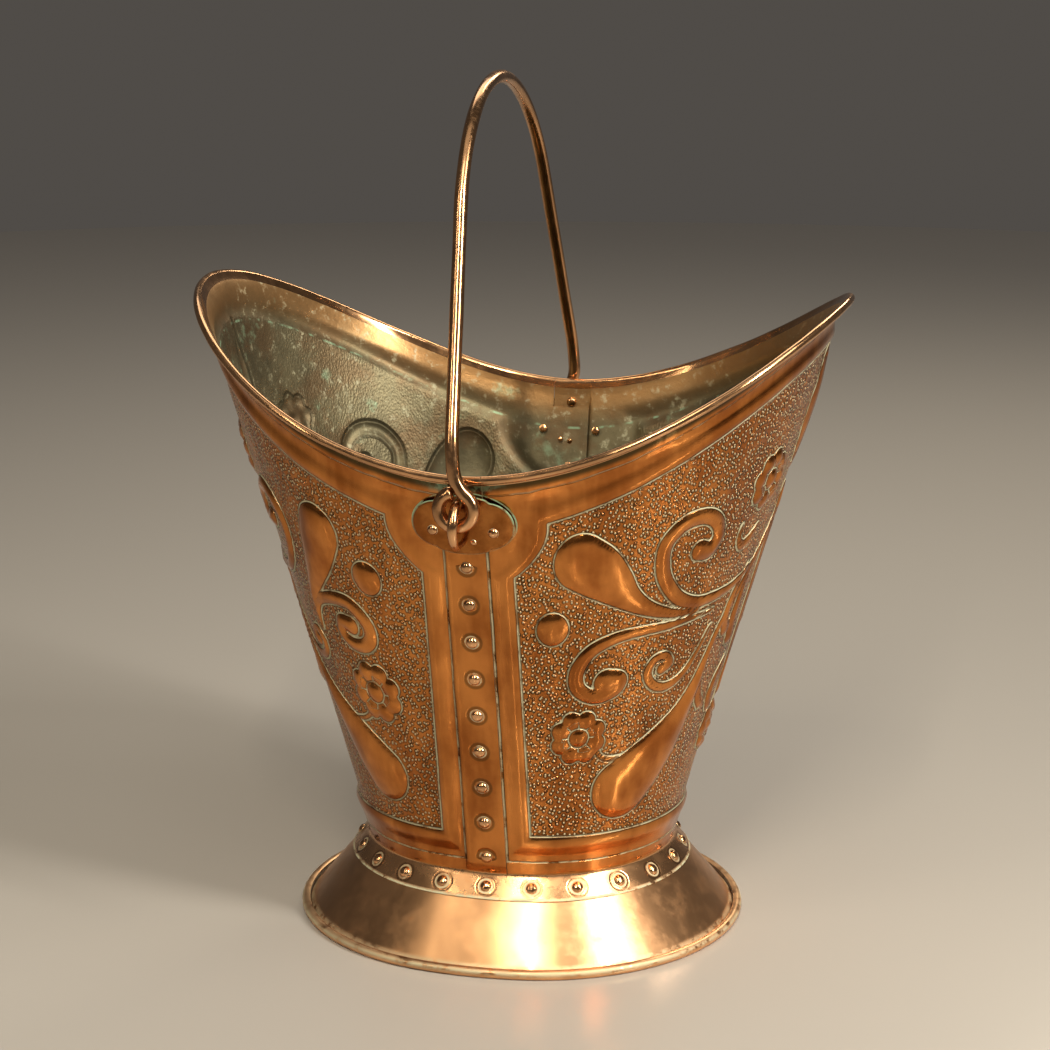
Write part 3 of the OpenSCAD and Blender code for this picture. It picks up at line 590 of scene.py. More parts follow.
class Graph:
    """One material and its nodes."""

    def __init__(self, name):
        self.material = bpy.data.materials.new(name)
        self.material.use_nodes = True
        self.nodes = self.material.node_tree.nodes
        self.links = self.material.node_tree.links
        self.nodes.clear()
        self.place = self.node("ShaderNodeTexCoord", output="Object")

    def node(self, kind, settings=None, inputs=(), output=0):
        made = self.nodes.new(kind)
        for name, value in (settings or {}).items():
            setattr(made, name, value)
        for name, value in inputs.items() if isinstance(inputs, dict) else enumerate(inputs):
            if isinstance(value, Value):
                self.links.new(value.socket, made.inputs[name])
            else:
                made.inputs[name].default_value = value
        return Value(self, made.outputs[output])

    def attribute(self, name):
        return self.node("ShaderNodeAttribute", {"attribute_name": name}, output="Fac")

    def noise(self, scale, detail=3.0, roughness=0.55, place=None):
        return self.node("ShaderNodeTexNoise", {"noise_dimensions": "3D"},
                         {"Vector": place or self.place, "Scale": scale, "Detail": detail,
                          "Roughness": roughness}, output="Fac")

    def stretched(self, *scales):
        """The place, its three axes scaled by themselves."""
        return self.node("ShaderNodeVectorMath", {"operation": "MULTIPLY"},
                         {0: self.place, 1: scales})

    def mix(self, factor, first, second):
        """Colour between two others, each a colour or a link."""
        first, second = [c if isinstance(c, Value) else (*c, 1) for c in (first, second)]
        return self.node("ShaderNodeMix", {"data_type": "RGBA"},
                         {0: factor, 6: first, 7: second}, output=2)

    def axis(self, name, place=None):
        return self.node("ShaderNodeSeparateXYZ", None, {"Vector": place or self.place},
                         output=name)

    def bump(self, height, distance, strength=1.0):
        return self.node("ShaderNodeBump", None,
                         {"Height": height, "Distance": distance, "Strength": strength})

    def finish(self, colour, metallic, roughness, **inputs):
        """The material with a Principled surface of these sockets."""
        shader = self.node("ShaderNodeBsdfPrincipled", None,
                           {"Base Color": colour, "Metallic": metallic,
                            "Roughness": roughness, **inputs})
        output = self.nodes.new("ShaderNodeOutputMaterial")
        self.links.new(shader.socket, output.inputs["Surface"])
        return self.material


def darker(value, share):
    return tuple(c * share for c in value)


MATERIALS = {}


def material(name):
    """The named finish, made the first time that it is asked for."""
    if name not in MATERIALS:
        MATERIALS[name] = MATERIAL_MAKERS[name](bpy.context.scene.scuttle_colours)
    return MATERIALS[name]


def ear_bloom(g):
    """Green bloom along the upper edge of an ear plate and up to the rim over it, 0 to 1."""
    fit = sizes()[2]
    x, z = g.axis("X"), g.axis("Z") - fit.plate_z
    reach = (x / (0.5 * fit.plate_w)).length_with(z / (0.5 * fit.plate_h))
    ring = reach.band(1.012, 0.026, 0.006) * (z.step(-0.010, 0.004) * 0.85 + 0.15)
    over = x.size().step(0.030, 0.008) * z.step(0.016, 0.023)
    return (ring * g.noise(90, 4).step(0.36, 0.54)).most(
        over * 0.55 * g.noise(130, 4).step(0.42, 0.62))


def seam_rivet_reach(g):
    """Distance in mm from the nearest rivet of a seam."""
    fit = sizes()[2]
    row = fit.seam_high_z - fit.seam_low_z
    spacing = row / (fit.seam_rivets - 1)
    z = g.axis("Z") - fit.seam_low_z
    turns = (z / spacing + 0.5).fract() - 0.5
    beyond = (z - row).most(0.0) + (z * -1).most(0.0)
    return g.axis("X").length_with(turns * spacing * 1.03 + beyond * 4) / MM


# From the middle of a rivet to the ring of polish round it and to the ring of painted shade beyond,
# in mm
SEAM_HALO, SEAM_SHADE = 4.1, 5.6
COLLAR_HALO, COLLAR_SHADE = 4.3, 6.0
# Punched dots and dents to a metre
DOTS, DIMPLES = 325.0, 210.0


def copper_panels(colours):
    """Outside of the bucket: brown copper, punched ground, residue in the lines, and painted shade
    and highlight.
    """
    g = Graph("worked_copper")
    form, panel, eye, slit, strip = [g.attribute(name) for name in
                                     ("form", "panel", "eye", "slit", "strip")]
    rim = g.attribute("rim") / MM
    up = (g.axis("Z") - sizes()[0].size.base_z) / MM
    wander = g.noise(60, 3) - 0.5
    inside_panel = panel.step(0.2, 0.9)
    # chased lines: round the forms, in the flowers, round the panel and on the border
    cut = form.size_from(-0.3).least(eye.size() + form.step(0.5, 0.0) * 9)
    cut = cut.least(slit.size() * 1.4 + (form.step(0.6, 0.0) + eye.step(-0.3, 0.3)) * 9)
    cut = (cut + (1 - inside_panel) * 9).least(panel.size_from(0.3))
    line = cut.step(0.85, 0.25)
    beside = (strip + wander).band(STRIP, 0.95, 0.3) * up.step(8.0, 9.5) * rim.step(9, 11)
    above = (up + wander).band(COLLAR_LINE, 0.8, 0.3) * strip.step(STRIP - 0.5, STRIP + 0.5)
    under = (rim + wander * 3).band(RIM_LINE, 0.8, 0.3)
    rules = beside.most(above).most(under * 0.3)
    ground = inside_panel * form.step(-0.5, -1.2)
    worn = g.noise(9, 3, 0.6)
    blotch = g.noise(34, 4, 0.6)
    streak = g.noise(1.0, 3, 0.6, place=g.stretched(55, 55, 9))
    # punched ground: each dot painted paler as a highlight, polish on the tips of some, and a ring
    # of painted shade round each
    dots = g.node("ShaderNodeTexVoronoi", {"voronoi_dimensions": "2D", "feature": "F1"},
                  {"Vector": g.node("ShaderNodeUVMap", {"uv_map": "wall"}), "Scale": DOTS,
                   "Randomness": 0.85}, output="Distance")
    chance = g.axis("X", place=dots.other("Color"))
    dot = dots.step(0.36, 0.06) * ground
    tip = dots.step(0.25, 0.13) * ground * chance.step(0.12, 0.30)
    dot_shade = dots.band(0.36, 0.17, 0.06) * ground * (g.noise(120, 3).step(0.36, 0.58) * 0.6 + 0.4)
    # round the rivets of a seam: a ring of polish, and beyond it a ring of painted shade
    reach = seam_rivet_reach(g)
    on_strip = strip.step(STRIP + 1, STRIP)
    halo = reach.band(SEAM_HALO, 0.6, 0.15) * on_strip
    shade_ring = reach.band(SEAM_SHADE, 1.6, 0.3) * on_strip
    pale = g.noise(85, 4, 0.65)
    residue = (line * (pale.step(0.30, 0.56) * 0.75 + 0.2)).most(tip * 0.9)
    residue = residue.most(rules * pale.step(0.36, 0.56) * 0.8)
    residue = residue.most(halo * pale.step(0.42, 0.60) * 0.8)
    # darker in the cuts and chased lines and beside the strip, with painted shade under the rim
    # bead and round the seam rivets
    film_and_shade = cut.step(1.7, 0.5).most(strip.band(STRIP, 1.8, 0.5) * up.step(8, 9.5))
    film_and_shade = film_and_shade.most(shade_ring).most(rim.step(9.0, 4.5)).most(above.most(under * 0.6))
    bloom = ear_bloom(g)
    dirt = residue.most(bloom)
    metal = g.mix((worn * 0.3 + blotch * 0.3 + streak * 0.4).step(0.38, 0.60),
                  colours.brown, colours.warm)
    # over the metal: browner ground, the dark mask, painted shade round the dots and under the rim
    # bead, a painted highlight on the dots, residue and bloom
    for share, colour_over in (
            (ground * 0.3, colours.brown), (film_and_shade * 0.6, colours.soot_and_shade),
            ((dot_shade * 0.85).most(rim.step(8.5, 5.0) * 0.85), colours.soot_and_shade),
            (dot * 0.35, colours.pale), (residue, colours.residue), (bloom, colours.verdigris)):
        metal = g.mix(share, metal, colour_over)
    fillet = form.step(-0.9, 0.9) * inside_panel
    height = (dot * 0.9 + fillet * 0.5 - line * 0.4 - rules * 0.5 - shade_ring * 0.25
              + ground * g.noise(170, 2) * 1.3 + g.noise(16, 2) * 1.1 + streak * 0.5 + blotch * 0.1)
    return g.finish(metal, 1 - dirt * 0.8,
                    0.13 + blotch.step(0.35, 0.7) * 0.12 + ground * 0.1 + dirt * 0.45,
                    Normal=g.bump(height, MM))


def inside_patina(colours):
    """Inside of the bucket: olive brown film with copper showing near the rim."""
    g = Graph("inside_patina")
    form, panel, depth = [g.attribute(name) for name in ("form", "panel", "rim")]
    cloud = g.noise(14, 5, 0.62)
    speck = g.noise(150, 4, 0.7)
    lip = depth.step(0.030, 0.008)
    pale = speck.step(0.55, 0.70) * cloud.step(0.40, 0.58)
    mark = depth.band(0.029, 0.0011, 0.0003) * g.noise(110, 4).step(0.48, 0.62)
    green = (g.noise(48, 4, 0.6).step(0.60, 0.72) * 0.4).most(mark * 0.7)
    groove = form.size().step(1.8, 0.4) * panel.step(0.2, 1.5)
    film = g.mix(cloud.step(0.36, 0.62), darker(colours.patina, 0.45), colours.patina)
    for share, colour_over in (
            (g.noise(30, 5, 0.65).step(0.46, 0.62) * 0.5, (0.17, 0.095, 0.045)),
            (lip * (g.noise(26, 4) * 0.5 + 0.55), (0.42, 0.225, 0.085)),
            (pale * 0.6, colours.residue), (green, colours.verdigris),
            (groove * 0.55, darker(colours.patina, 0.3))):
        film = g.mix(share, film, colour_over)
    dimples = g.node("ShaderNodeTexVoronoi", {"feature": "SMOOTH_F1"}, {"Scale": DIMPLES},
                     output="Distance")
    inner = panel.step(0, 2) * form.step(0.5, -1)
    normal = g.bump(speck * 0.4 + cloud * 0.6 - groove * 0.6 + dimples * inner * 0.5, 0.0007, 0.8)
    return g.finish(film, 0.8 - pale * 0.5 - green * 0.4, 0.40 + speck * 0.2 - lip * 0.12,
                    Normal=normal)


def burnished(name, dull, bump_mm, ringed=False, tone=1.0):
    """Maker of a paler, hand-rubbed copper, with rings of polish and of painted shade round the
    collar's rivets if asked.
    """
    def make(colours):
        g = Graph(name)
        cloud = g.noise(11, 4, 0.6)
        rub = g.noise(70, 4, 0.65)
        metal = g.mix(cloud.step(0.36, 0.62), darker(colours.pale, 0.62 * tone),
                      darker(colours.pale, tone))
        metal = g.mix(rub.step(0.60, 0.80) * 0.35, metal, colours.warm)
        edge = g.attribute("dirt").step(0.05, 0.8) * g.noise(140, 4, 0.7).step(0.34, 0.52)
        marks = rub * 0.3
        if ringed:
            u = ((g.attribute("ring_u") + 0.5).fract() - 0.5) * (collar_spacing() / MM)
            reach = u.length_with(g.attribute("ring_v"))
            halo = reach.band(COLLAR_HALO, 0.8, 0.25)
            # painted shade: a darker brown ring round each collar rivet
            ring = reach.band(COLLAR_SHADE, 1.2, 0.3)
            metal = g.mix(ring * 0.5, metal, darker(colours.brown, 0.5))
            edge = edge.most(halo * 0.8 * g.noise(90, 3).step(0.3, 0.5))
            marks = marks - ring * 0.5 - halo * 0.3
        metal = g.mix(edge, metal, colours.residue)
        rough = 0.13 + dull * 0.12 + rub.step(0.4, 0.75) * 0.10 + edge * 0.4
        return g.finish(metal, 1 - edge * 0.75, rough,
                        Normal=g.bump(marks + cloud, bump_mm * MM, 0.7))
    return make


def fitting_copper(colours):
    """Ear plates: brown in lighter and darker patches, green at the edges."""
    g = Graph("fitting_copper")
    cloud = g.noise(60, 4, 0.6)
    z = g.axis("Z") - sizes()[2].plate_z
    edge = (g.attribute("dirt").step(0.80, 1.0) * g.noise(210, 4, 0.7).step(0.32, 0.50)
            * (z.step(-0.010, 0.006) * 0.8 + 0.2))
    metal = g.mix(cloud.step(0.36, 0.66), darker(colours.brown, 0.7), darker(colours.warm, 0.62))
    metal = g.mix(edge, metal, colours.verdigris)
    return g.finish(metal, 1 - edge * 0.7, 0.17 + cloud * 0.14 + edge * 0.35,
                    Normal=g.bump(cloud + g.noise(260, 3) * 0.3, 0.0004, 0.8))


def bail_copper(colours):
    """Bail and staples: handled rod, duller and brighter in patches."""
    g = Graph("bail_copper")
    scratch = g.noise(320, 3, 0.6)
    metal = g.mix(g.noise(24, 4, 0.6).step(0.34, 0.66), darker(colours.pale, 0.46),
                  darker(colours.pale, 0.74))
    metal = g.mix(g.noise(90, 4).step(0.58, 0.78) * 0.3, metal, colours.brown)
    return g.finish(metal, 1.0, 0.17 + scratch.step(0.4, 0.7) * 0.1,
                    Normal=g.bump(g.noise(30, 2) + scratch * 0.08, 0.00018, 0.8))


def iron_wire(colours):
    """Hidden wires: grey iron with brown bloom."""
    g = Graph("iron_wire")
    rust = g.noise(180, 4, 0.65)
    metal = g.mix(rust.step(0.45, 0.7), colours.iron, (0.12, 0.06, 0.03))
    return g.finish(metal, 0.8, 0.4 + rust * 0.3, Normal=g.bump(rust, 0.0002))


def pale_floor(colours):
    """Plain pale floor."""
    return Graph("pale_floor").finish((0.45, 0.42, 0.385, 1), 0.0, 0.2)


MATERIAL_MAKERS = {
    "worked_copper": copper_panels,
    "inside_patina": inside_patina,
    "foot_copper": burnished("foot_copper", 1.3, 0.5),
    "collar_copper": burnished("collar_copper", 0.9, 0.4, ringed=True),
    "rim_copper": burnished("rim_copper", 0.25, 0.1, tone=0.78),
    "rivet_copper": burnished("rivet_copper", 0.4, 0.3, tone=0.8),
    "fitting_copper": fitting_copper,
    "bail_copper": bail_copper,
    "iron_wire": iron_wire,
    "pale_floor": pale_floor,
}


# ---- Bucket ------------------------------------------------------------------

# The outer face of the sheet takes the finish before that of the inner face
SHELL_FINISHES = ("worked_copper", "inside_patina", "collar_copper", "rim_copper", "rim_copper")
INSIDE_WALL, INSIDE_COLLAR, INSIDE_RIM = 1, 3, 4
# Columns of a half shell, closer together where the sheet steps: from, to and how many
COLUMNS = ((-4, -3, 9), (-3, -2, 5), (-2, -1, 27), (-1, 1, 184), (1, 2, 27), (2, 3, 5), (3, 4, 9))
# Rows: shares of the collar's width from its edge in, of the wall's height, and of the curl
COLLAR_SHARES = (1, 0.85, 0.65, 0.45, 0.28, 0.14)
WALL_SHARES = np.concatenate([[0.008, 0.02, 0.035], np.linspace(0.05, 1, 140)])
CURL = np.radians(np.linspace(180, -110, 15))


def neck_in(depth, neck, sheet):
    """How far the wall is drawn in at a depth under the rim."""
    drawn = np.interp(depth, [CURL_DEPTH, 0.008, 0.016, 0.028, 0.048, 0.075],
                      [0.6, 0.9, 1.0, 0.4, 0.1, 0.0])
    return drawn * neck + 0.5 * sheet * smooth(0.008, CURL_DEPTH, depth)


def collar_rows(foot, angle, sheet):
    """Out and up of the collar's under face, from its edge to the wall."""
    run, drop = foot.collar * math.cos(angle), foot.collar * math.sin(angle)
    straight = [(run * v - sheet * math.sin(angle), -drop * v - sheet * math.cos(angle))
                for v in COLLAR_SHARES]
    bend = [(0.9 * MM - 0.9 * sheet, -0.9 * MM - 0.4 * sheet), (0.1 * MM - sheet, 0.5 * MM)]
    return straight + bend


def foot_angle(bucket, foot):
    """Slope of the foot, from its two faces and the wire they are rolled round."""
    fall = bucket.size.base_z - foot.wire_z
    top = bucket.size.sheet + foot.seat
    return (math.atan2(fall, foot.spread)
            + math.asin((foot.bore - top) / math.hypot(fall, foot.spread)))


def collar_length(bucket, foot):
    """Directions once round from the front seam, and how far along the rivets' line each is."""
    size = bucket.size
    reach = foot.collar / 2 * math.cos(foot_angle(bucket, foot))
    w = np.linspace(-math.pi / 2, 1.5 * math.pi, 7201)
    x, y = bucket.plan(w, size.base_a + reach, size.base_b + reach)
    return w, np.concatenate([[0], np.cumsum(np.hypot(np.diff(x), np.diff(y)))])


def collar_spacing():
    """Distance between two rivets of the collar."""
    bucket, foot, fit = sizes()
    return collar_length(bucket, foot)[1][-1] / fit.collar_rivets


def shell_mesh(name, bucket, foot):
    """One half of the bucket: the inner face of its sheet."""
    size = bucket.size
    columns = np.append(np.concatenate([np.linspace(low, high, count, endpoint=False)
                                        for low, high, count in COLUMNS]), COLUMNS[-1][1])
    collar = collar_rows(foot, foot_angle(bucket, foot), size.sheet)
    first_wall, first_curl = len(collar), len(collar) + len(WALL_SHARES)
    rows = first_curl + len(CURL)
    piece, column, row = laid_grid(name, len(columns), rows)
    s = columns[column]
    on_wall = (row >= first_wall) & (row < first_curl)
    wall_h = bucket.wall_h(s)
    share = np.where(on_wall, WALL_SHARES[np.clip(row - first_wall, 0, len(WALL_SHARES) - 1)], 0)
    t = share * (1 - CURL_DEPTH / wall_h)
    depth = (1 - t) * wall_h
    neck = 0.8 * MM + size.lip_neck * (bucket.rim_x(s) / size.mouth_a) ** 2
    shift = (size.lap_shift * np.clip(s - 2, 0, 1) * smooth(0, 0.02, t)
             * np.interp(depth, [CURL_DEPTH, 0.008, 0.016], [0, 0.4, 1]))
    along, seam = bucket.across(s, t)
    x, y = along / MM, (t * wall_h) / MM
    form, hump, eye, slit = ornament(s, x, y)
    panel = panel_distance(x, y, seam / MM, wall_h / MM)
    strip = (seam - along) / MM
    raised = relief(hump, panel, strip, y, depth / MM) * MM
    points = bucket.point(s, t, shift - neck_in(depth, neck, size.sheet) - size.sheet + raised)
    bead = size.rim_bore + size.sheet
    edges = [(i, 0, out, up) for i, (out, up) in enumerate(collar)]
    edges += [(first_curl + i, 1, bead * math.cos(turn), bead * math.sin(turn))
              for i, turn in enumerate(CURL)]
    for number, height, out, up in edges:
        edge = bucket.point(s, 0 * s + height, out, up)
        points = np.where((row == number)[:, None], edge, points)
    set_points(piece, points)
    below = row < first_wall
    w, length_to = collar_length(bucket, foot)
    ring_v = np.array([foot.collar * (v - 0.5) / MM for v in COLLAR_SHARES] + [-20])
    attributes(piece, form=np.where(on_wall, form, -9), strip=strip,
               panel=np.where(on_wall, np.clip(panel, -9, 30), -9),
               eye=np.where(on_wall, eye, -9), slit=np.where(on_wall, slit, 9),
               rim=np.where(on_wall, depth, np.where(below, 0.3, 0)),
               ring_u=np.interp(bucket.turn(s, size.base_a, size.base_b), w, length_to)
               / collar_spacing(),
               ring_v=ring_v[np.minimum(row, len(ring_v) - 1)],
               dirt=np.where(row == 0, 1.0, np.where(below, 0.0, 0.1)))
    layer = piece.data.uv_layers[0]
    layer.name = "wall"
    corner = np.zeros(len(piece.data.loops), int)
    piece.data.loops.foreach_get("vertex_index", corner)
    flat_x, flat_y = rolled_out(x, y)
    flat = (np.stack([flat_x * np.sign(s), flat_y], -1) * MM)[corner]
    layer.data.foreach_set("uv", flat.astype(np.float32).reshape(-1))
    finish_of_row = np.full(rows, INSIDE_WALL)
    finish_of_row[:first_wall - 1] = INSIDE_COLLAR
    finish_of_row[first_curl - 1:] = INSIDE_RIM
    face_row = np.array([min(row[v] for v in face.vertices) for face in piece.data.polygons])
    piece.data.polygons.foreach_set("material_index", finish_of_row[face_row].astype(np.int32))
    return piece


def trim_tab(piece, bucket):
    """Takes rim and collar off the covered strip of the front seam."""
    size = bucket.size
    tab_top, tab_bottom = size.rim_side_z - 0.016, size.base_z + 0.006
    edge = size.lap + 0.2 * MM
    only(piece)
    bpy.ops.object.mode_set(mode="EDIT")
    bpy.ops.mesh.select_mode(type="FACE")
    bpy.ops.mesh.select_all(action="DESELECT")
    bpy.ops.object.mode_set(mode="OBJECT")
    for face in piece.data.polygons:
        x, y, z = face.center
        face.select = x < edge and y < 0 and not tab_bottom <= z <= tab_top
    bpy.ops.object.mode_set(mode="EDIT")
    bpy.ops.mesh.delete(type="FACE")
    bpy.ops.object.mode_set(mode="OBJECT")


def half_shell(name, turned):
    """Finished half of the bucket; the second one is turned round to the other side."""
    bucket, foot, _ = sizes()
    piece = shell_mesh(name, bucket, foot)
    for finish in SHELL_FINISHES:
        piece.data.materials.append(material(finish))
    trim_tab(piece, bucket)
    edit(piece, bpy.ops.mesh.normals_make_consistent, inside=False)
    face_along(piece, lambda centre: Vector((-centre.x, -centre.y, 0)))
    rough_up(piece, 0.22 * MM, 0.020, 1 + turned)
    modify(piece, "SOLIDIFY", thickness=bucket.size.sheet, offset=-1, use_even_offset=True,
           thickness_clamp=0, material_offset=-1, material_offset_rim=0)
    if turned:
        piece.data.transform(HALF_TURN)
    shade(piece, 60)
    settle(piece, "bucket", [name])


# ---- Foot --------------------------------------------------------------------

def foot_section(bucket, foot, under):
    """Out and height of one face of the foot, from ledge to the end of the curl."""
    size = bucket.size
    angle = foot_angle(bucket, foot)
    top = size.sheet + foot.seat
    depth = top + size.sheet if under else top
    ledge_z = size.base_z - 0.8 * MM
    level = ledge_z - (size.sheet if under else 0)

    def on_slope(along, deep):
        return np.array([along * math.cos(angle) - deep * math.sin(angle),
                         size.base_z - along * math.sin(angle) - deep * math.cos(angle)])

    def along_at(deep, z):
        return (size.base_z - z - deep * math.cos(angle)) / math.sin(angle)

    ledge_in = on_slope(along_at(top, ledge_z), top)[0] - foot.ledge
    start = on_slope(along_at(depth, level), depth)
    reach = foot.bore + (size.sheet if under else 0)
    turns = 1.5 * math.pi - angle + np.linspace(0, 1.5 * math.pi, 19)
    rolled = [(foot.spread + reach * math.cos(v), max(0, foot.wire_z + reach * math.sin(v)))
              for v in turns]
    slope = [start + (np.array(rolled[0]) - start) * v for v in np.linspace(0, 1, 26)[1:-1]]
    return [(ledge_in, level), tuple(start)] + [tuple(p) for p in slope] + rolled


def foot_skirt():
    bucket, foot, _ = sizes()
    section = np.array(foot_section(bucket, foot, False) + foot_section(bucket, foot, True)[::-1])
    section = np.vstack([section, section[:1]])
    around = 288
    piece, column, row = laid_grid("foot_skirt", around + 1, len(section))
    w = 2 * math.pi * column / around
    x, y = bucket.plan(w, bucket.size.base_a, bucket.size.base_b)
    out, z = section[row].T
    set_points(piece, np.stack([x + out * np.cos(w), y + out * np.sin(w), z], -1))
    dirt_z, dirt_w = 0.004, 0.003       # polish dries on in the groove over the rolled edge
    attributes(piece, dirt=np.clip(1 - np.abs(z - dirt_z) / dirt_w, 0, 1) * 0.6)
    close_up(piece)
    shade(piece, 60)
    settle(piece, "bucket", ["foot_skirt"], "foot_copper")


# ---- Rivets ------------------------------------------------------------------

BLOWS = 5               # hammer blows that leave a flat on a head
TAIL_D = 5.4 * MM       # clenched end of a full-size rivet
TAIL_H = 1.2 * MM


def rivet_head(head_d, head_h, seed):
    """Domed head on z = 0, with the flats of a few hammer blows."""
    dome_r = (head_d ** 2 / 4 + head_h ** 2) / (2 * head_h)
    middle = Vector((0, 0, head_h - dome_r))
    deselect()
    bpy.ops.mesh.primitive_uv_sphere_add(segments=24, ring_count=48, radius=dome_r,
                                         location=middle)
    piece = bpy.context.object
    bpy.ops.object.transform_apply(location=True)
    edit(piece, bpy.ops.mesh.bisect, plane_co=(0, 0, 0), plane_no=(0, 0, 1), clear_inner=True,
         use_fill=True)
    for blow in range(BLOWS):
        angle = 2.4 * blow + seed * 1.3
        tilt = 0.28 + 0.12 * math.sin(seed + blow)
        lean = Vector((math.cos(angle) * tilt, math.sin(angle) * tilt, 1)).normalized()
        level = (middle + lean * dome_r).dot(lean) - 0.035 * head_d
        for v in piece.data.vertices:
            over = v.co.dot(lean) - level
            if over > 0:
                v.co -= lean * over * 0.7
    attributes(piece, dirt=[v.co.z < 0.12 * head_h for v in piece.data.vertices])
    return piece


def rivet_tail(diameter, depth):
    """Flat clenched end that shows inside, its upper face at z = -depth."""
    deselect()
    bpy.ops.mesh.primitive_cylinder_add(vertices=24, radius=diameter / 2, depth=TAIL_H,
                                        location=(0, 0, -depth - TAIL_H / 2))
    piece = bpy.context.object
    bpy.ops.object.transform_apply(location=True)
    modify(piece, "BEVEL", width=0.35 * MM, segments=2, limit_method="ANGLE")
    attributes(piece, dirt=[0.0] * len(piece.data.vertices))
    return piece


def rivets(name, places, rivet_sizes, grip):
    """A row of rivets as one piece: a matrix for each, and its head and tail."""
    made = []
    for i, (place, (head_d, head_h, tail_d)) in enumerate(zip(places, rivet_sizes)):
        for part in (rivet_head(head_d, head_h, i + len(name)), rivet_tail(tail_d, grip)):
            part.data.transform(place @ Matrix.Rotation(i * 1.1, 4, "Z"))
            made.append(part)
    piece = join(made, name)
    shade(piece, 35)
    settle(piece, "bucket", [name], "rivet_copper")


def sided(back, name):
    return ("back_" if back else "front_") + name


def on_seam(bucket, z, out, back):
    """Frame on the front or back seam at height z, +Z out of the wall."""
    half, lean, _ = bucket.seam(z)
    place = (Matrix.Translation((0, -half, z)) @ Matrix.Rotation(math.pi / 2 + lean, 4, "X")
             @ Matrix.Translation((0, 0, out)))
    return HALF_TURN @ place if back else place


def seam_rivet_row(back):
    bucket, _, fit = sizes()
    proud = bucket.size.lap_shift + SEAT
    places = [on_seam(bucket, z, proud, back)
              for z in np.linspace(fit.seam_low_z, fit.seam_high_z, fit.seam_rivets)]
    rivets(sided(back, "seam_rivets"), places, [(fit.rivet_d, fit.rivet_h, TAIL_D)] * len(places),
           proud + bucket.size.sheet + SEAT)


def collar_rivet_row():
    bucket, foot, fit = sizes()
    size = bucket.size
    angle = foot_angle(bucket, foot)
    run, drop = foot.collar / 2 * math.cos(angle), foot.collar / 2 * math.sin(angle)
    w, along = collar_length(bucket, foot)
    places = []
    for i in range(fit.collar_rivets):
        turn = float(np.interp(along[-1] * i / fit.collar_rivets, along, w))
        x, y = bucket.plan(np.array(turn), size.base_a + run, size.base_b + run)
        places.append(Matrix.Translation((float(x), float(y), size.base_z - drop))
                      @ Matrix.Rotation(turn, 4, "Z") @ Matrix.Rotation(angle, 4, "Y")
                      @ Matrix.Translation((0, 0, SEAT)))
    rivets("collar_rivets", places, [(fit.rivet_d, fit.rivet_h, TAIL_D)] * len(places),
           2 * size.sheet + 3 * SEAT)


# ---- Ears --------------------------------------------------------------------

def plate_outline(fit, steps):
    """Half sizes of the oval plate at each direction: two round ends, two flanks."""
    end_d = fit.plate_h * 0.78
    reach = (fit.plate_w - end_d) / 2
    flank = (reach ** 2 + fit.plate_h ** 2 / 4 - end_d ** 2 / 4) / (fit.plate_h - end_d)
    found = []
    for angle in 2 * math.pi * np.arange(steps + 1) / steps:
        direction = np.array([math.cos(angle), math.sin(angle)])
        low, far = 0.0, fit.plate_w
        for _ in range(40):
            middle = (low + far) / 2
            px, py = np.abs(direction) * middle
            inside = (math.hypot(px - reach, py) < end_d / 2
                      or (px < reach and math.hypot(px, py + flank - fit.plate_h / 2) < flank))
            low, far = (middle, far) if inside else (low, middle)
        found.append(direction * low)
    return np.array(found)


def ear_plate(back):
    bucket, _, fit = sizes()
    name = sided(back, "ear_plate")
    around, rings, round_off = 96, 14, 0.5 * MM
    piece, column, row = laid_grid(name, around + 1, rings + 1)
    share = row / rings
    x, y = (plate_outline(fit, around)[column] * share[:, None]).T
    radius = bucket.seam(fit.plate_z)[2]
    top = bucket.size.lap_shift + SEAT + fit.plate_t - (radius - np.sqrt(radius ** 2 - x ** 2))
    set_points(piece, np.stack([x, y, top - round_off * smooth(0.86, 1.0, share) ** 2], -1))
    attributes(piece, dirt=smooth(0.8, 1.0, share))
    close_up(piece)
    face_along(piece, lambda centre: Vector((0, 0, 1)))
    rough_up(piece, 0.25 * MM, 0.008, 4)
    modify(piece, "SOLIDIFY", thickness=fit.plate_t - round_off, offset=-1)
    modify(piece, "BEVEL", width=0.3 * MM, segments=2, limit_method="ANGLE")
    piece.data.transform(on_seam(bucket, fit.plate_z, 0, back))
    shade(piece, 40)
    settle(piece, "bucket", [name], "fitting_copper")


def ear_rivet_set(back):
    bucket, _, fit = sizes()
    radius = bucket.seam(fit.plate_z)[2]
    proud = bucket.size.lap_shift + 2 * SEAT + fit.plate_t
    plate = on_seam(bucket, fit.plate_z, 0, back)
    places = []
    for x, y in ((-fit.plate_rivet_span / 2, -4 * MM), (fit.plate_rivet_span / 2, -4 * MM),
                 (6 * MM, -10.5 * MM)):
        drop = radius - math.sqrt(radius ** 2 - x ** 2)
        places.append(plate @ Matrix.Translation((x, y, proud - drop))
                      @ Matrix.Rotation(math.asin(x / radius), 4, "Y"))
    large = (fit.rivet_d * 0.88, fit.rivet_h, TAIL_D)
    small = (3.6 * MM, 1.2 * MM, 3.1 * MM)
    rivets(sided(back, "ear_rivets"), places, [large, large, small],
           proud + bucket.size.sheet + SEAT + 2.4 * MM)


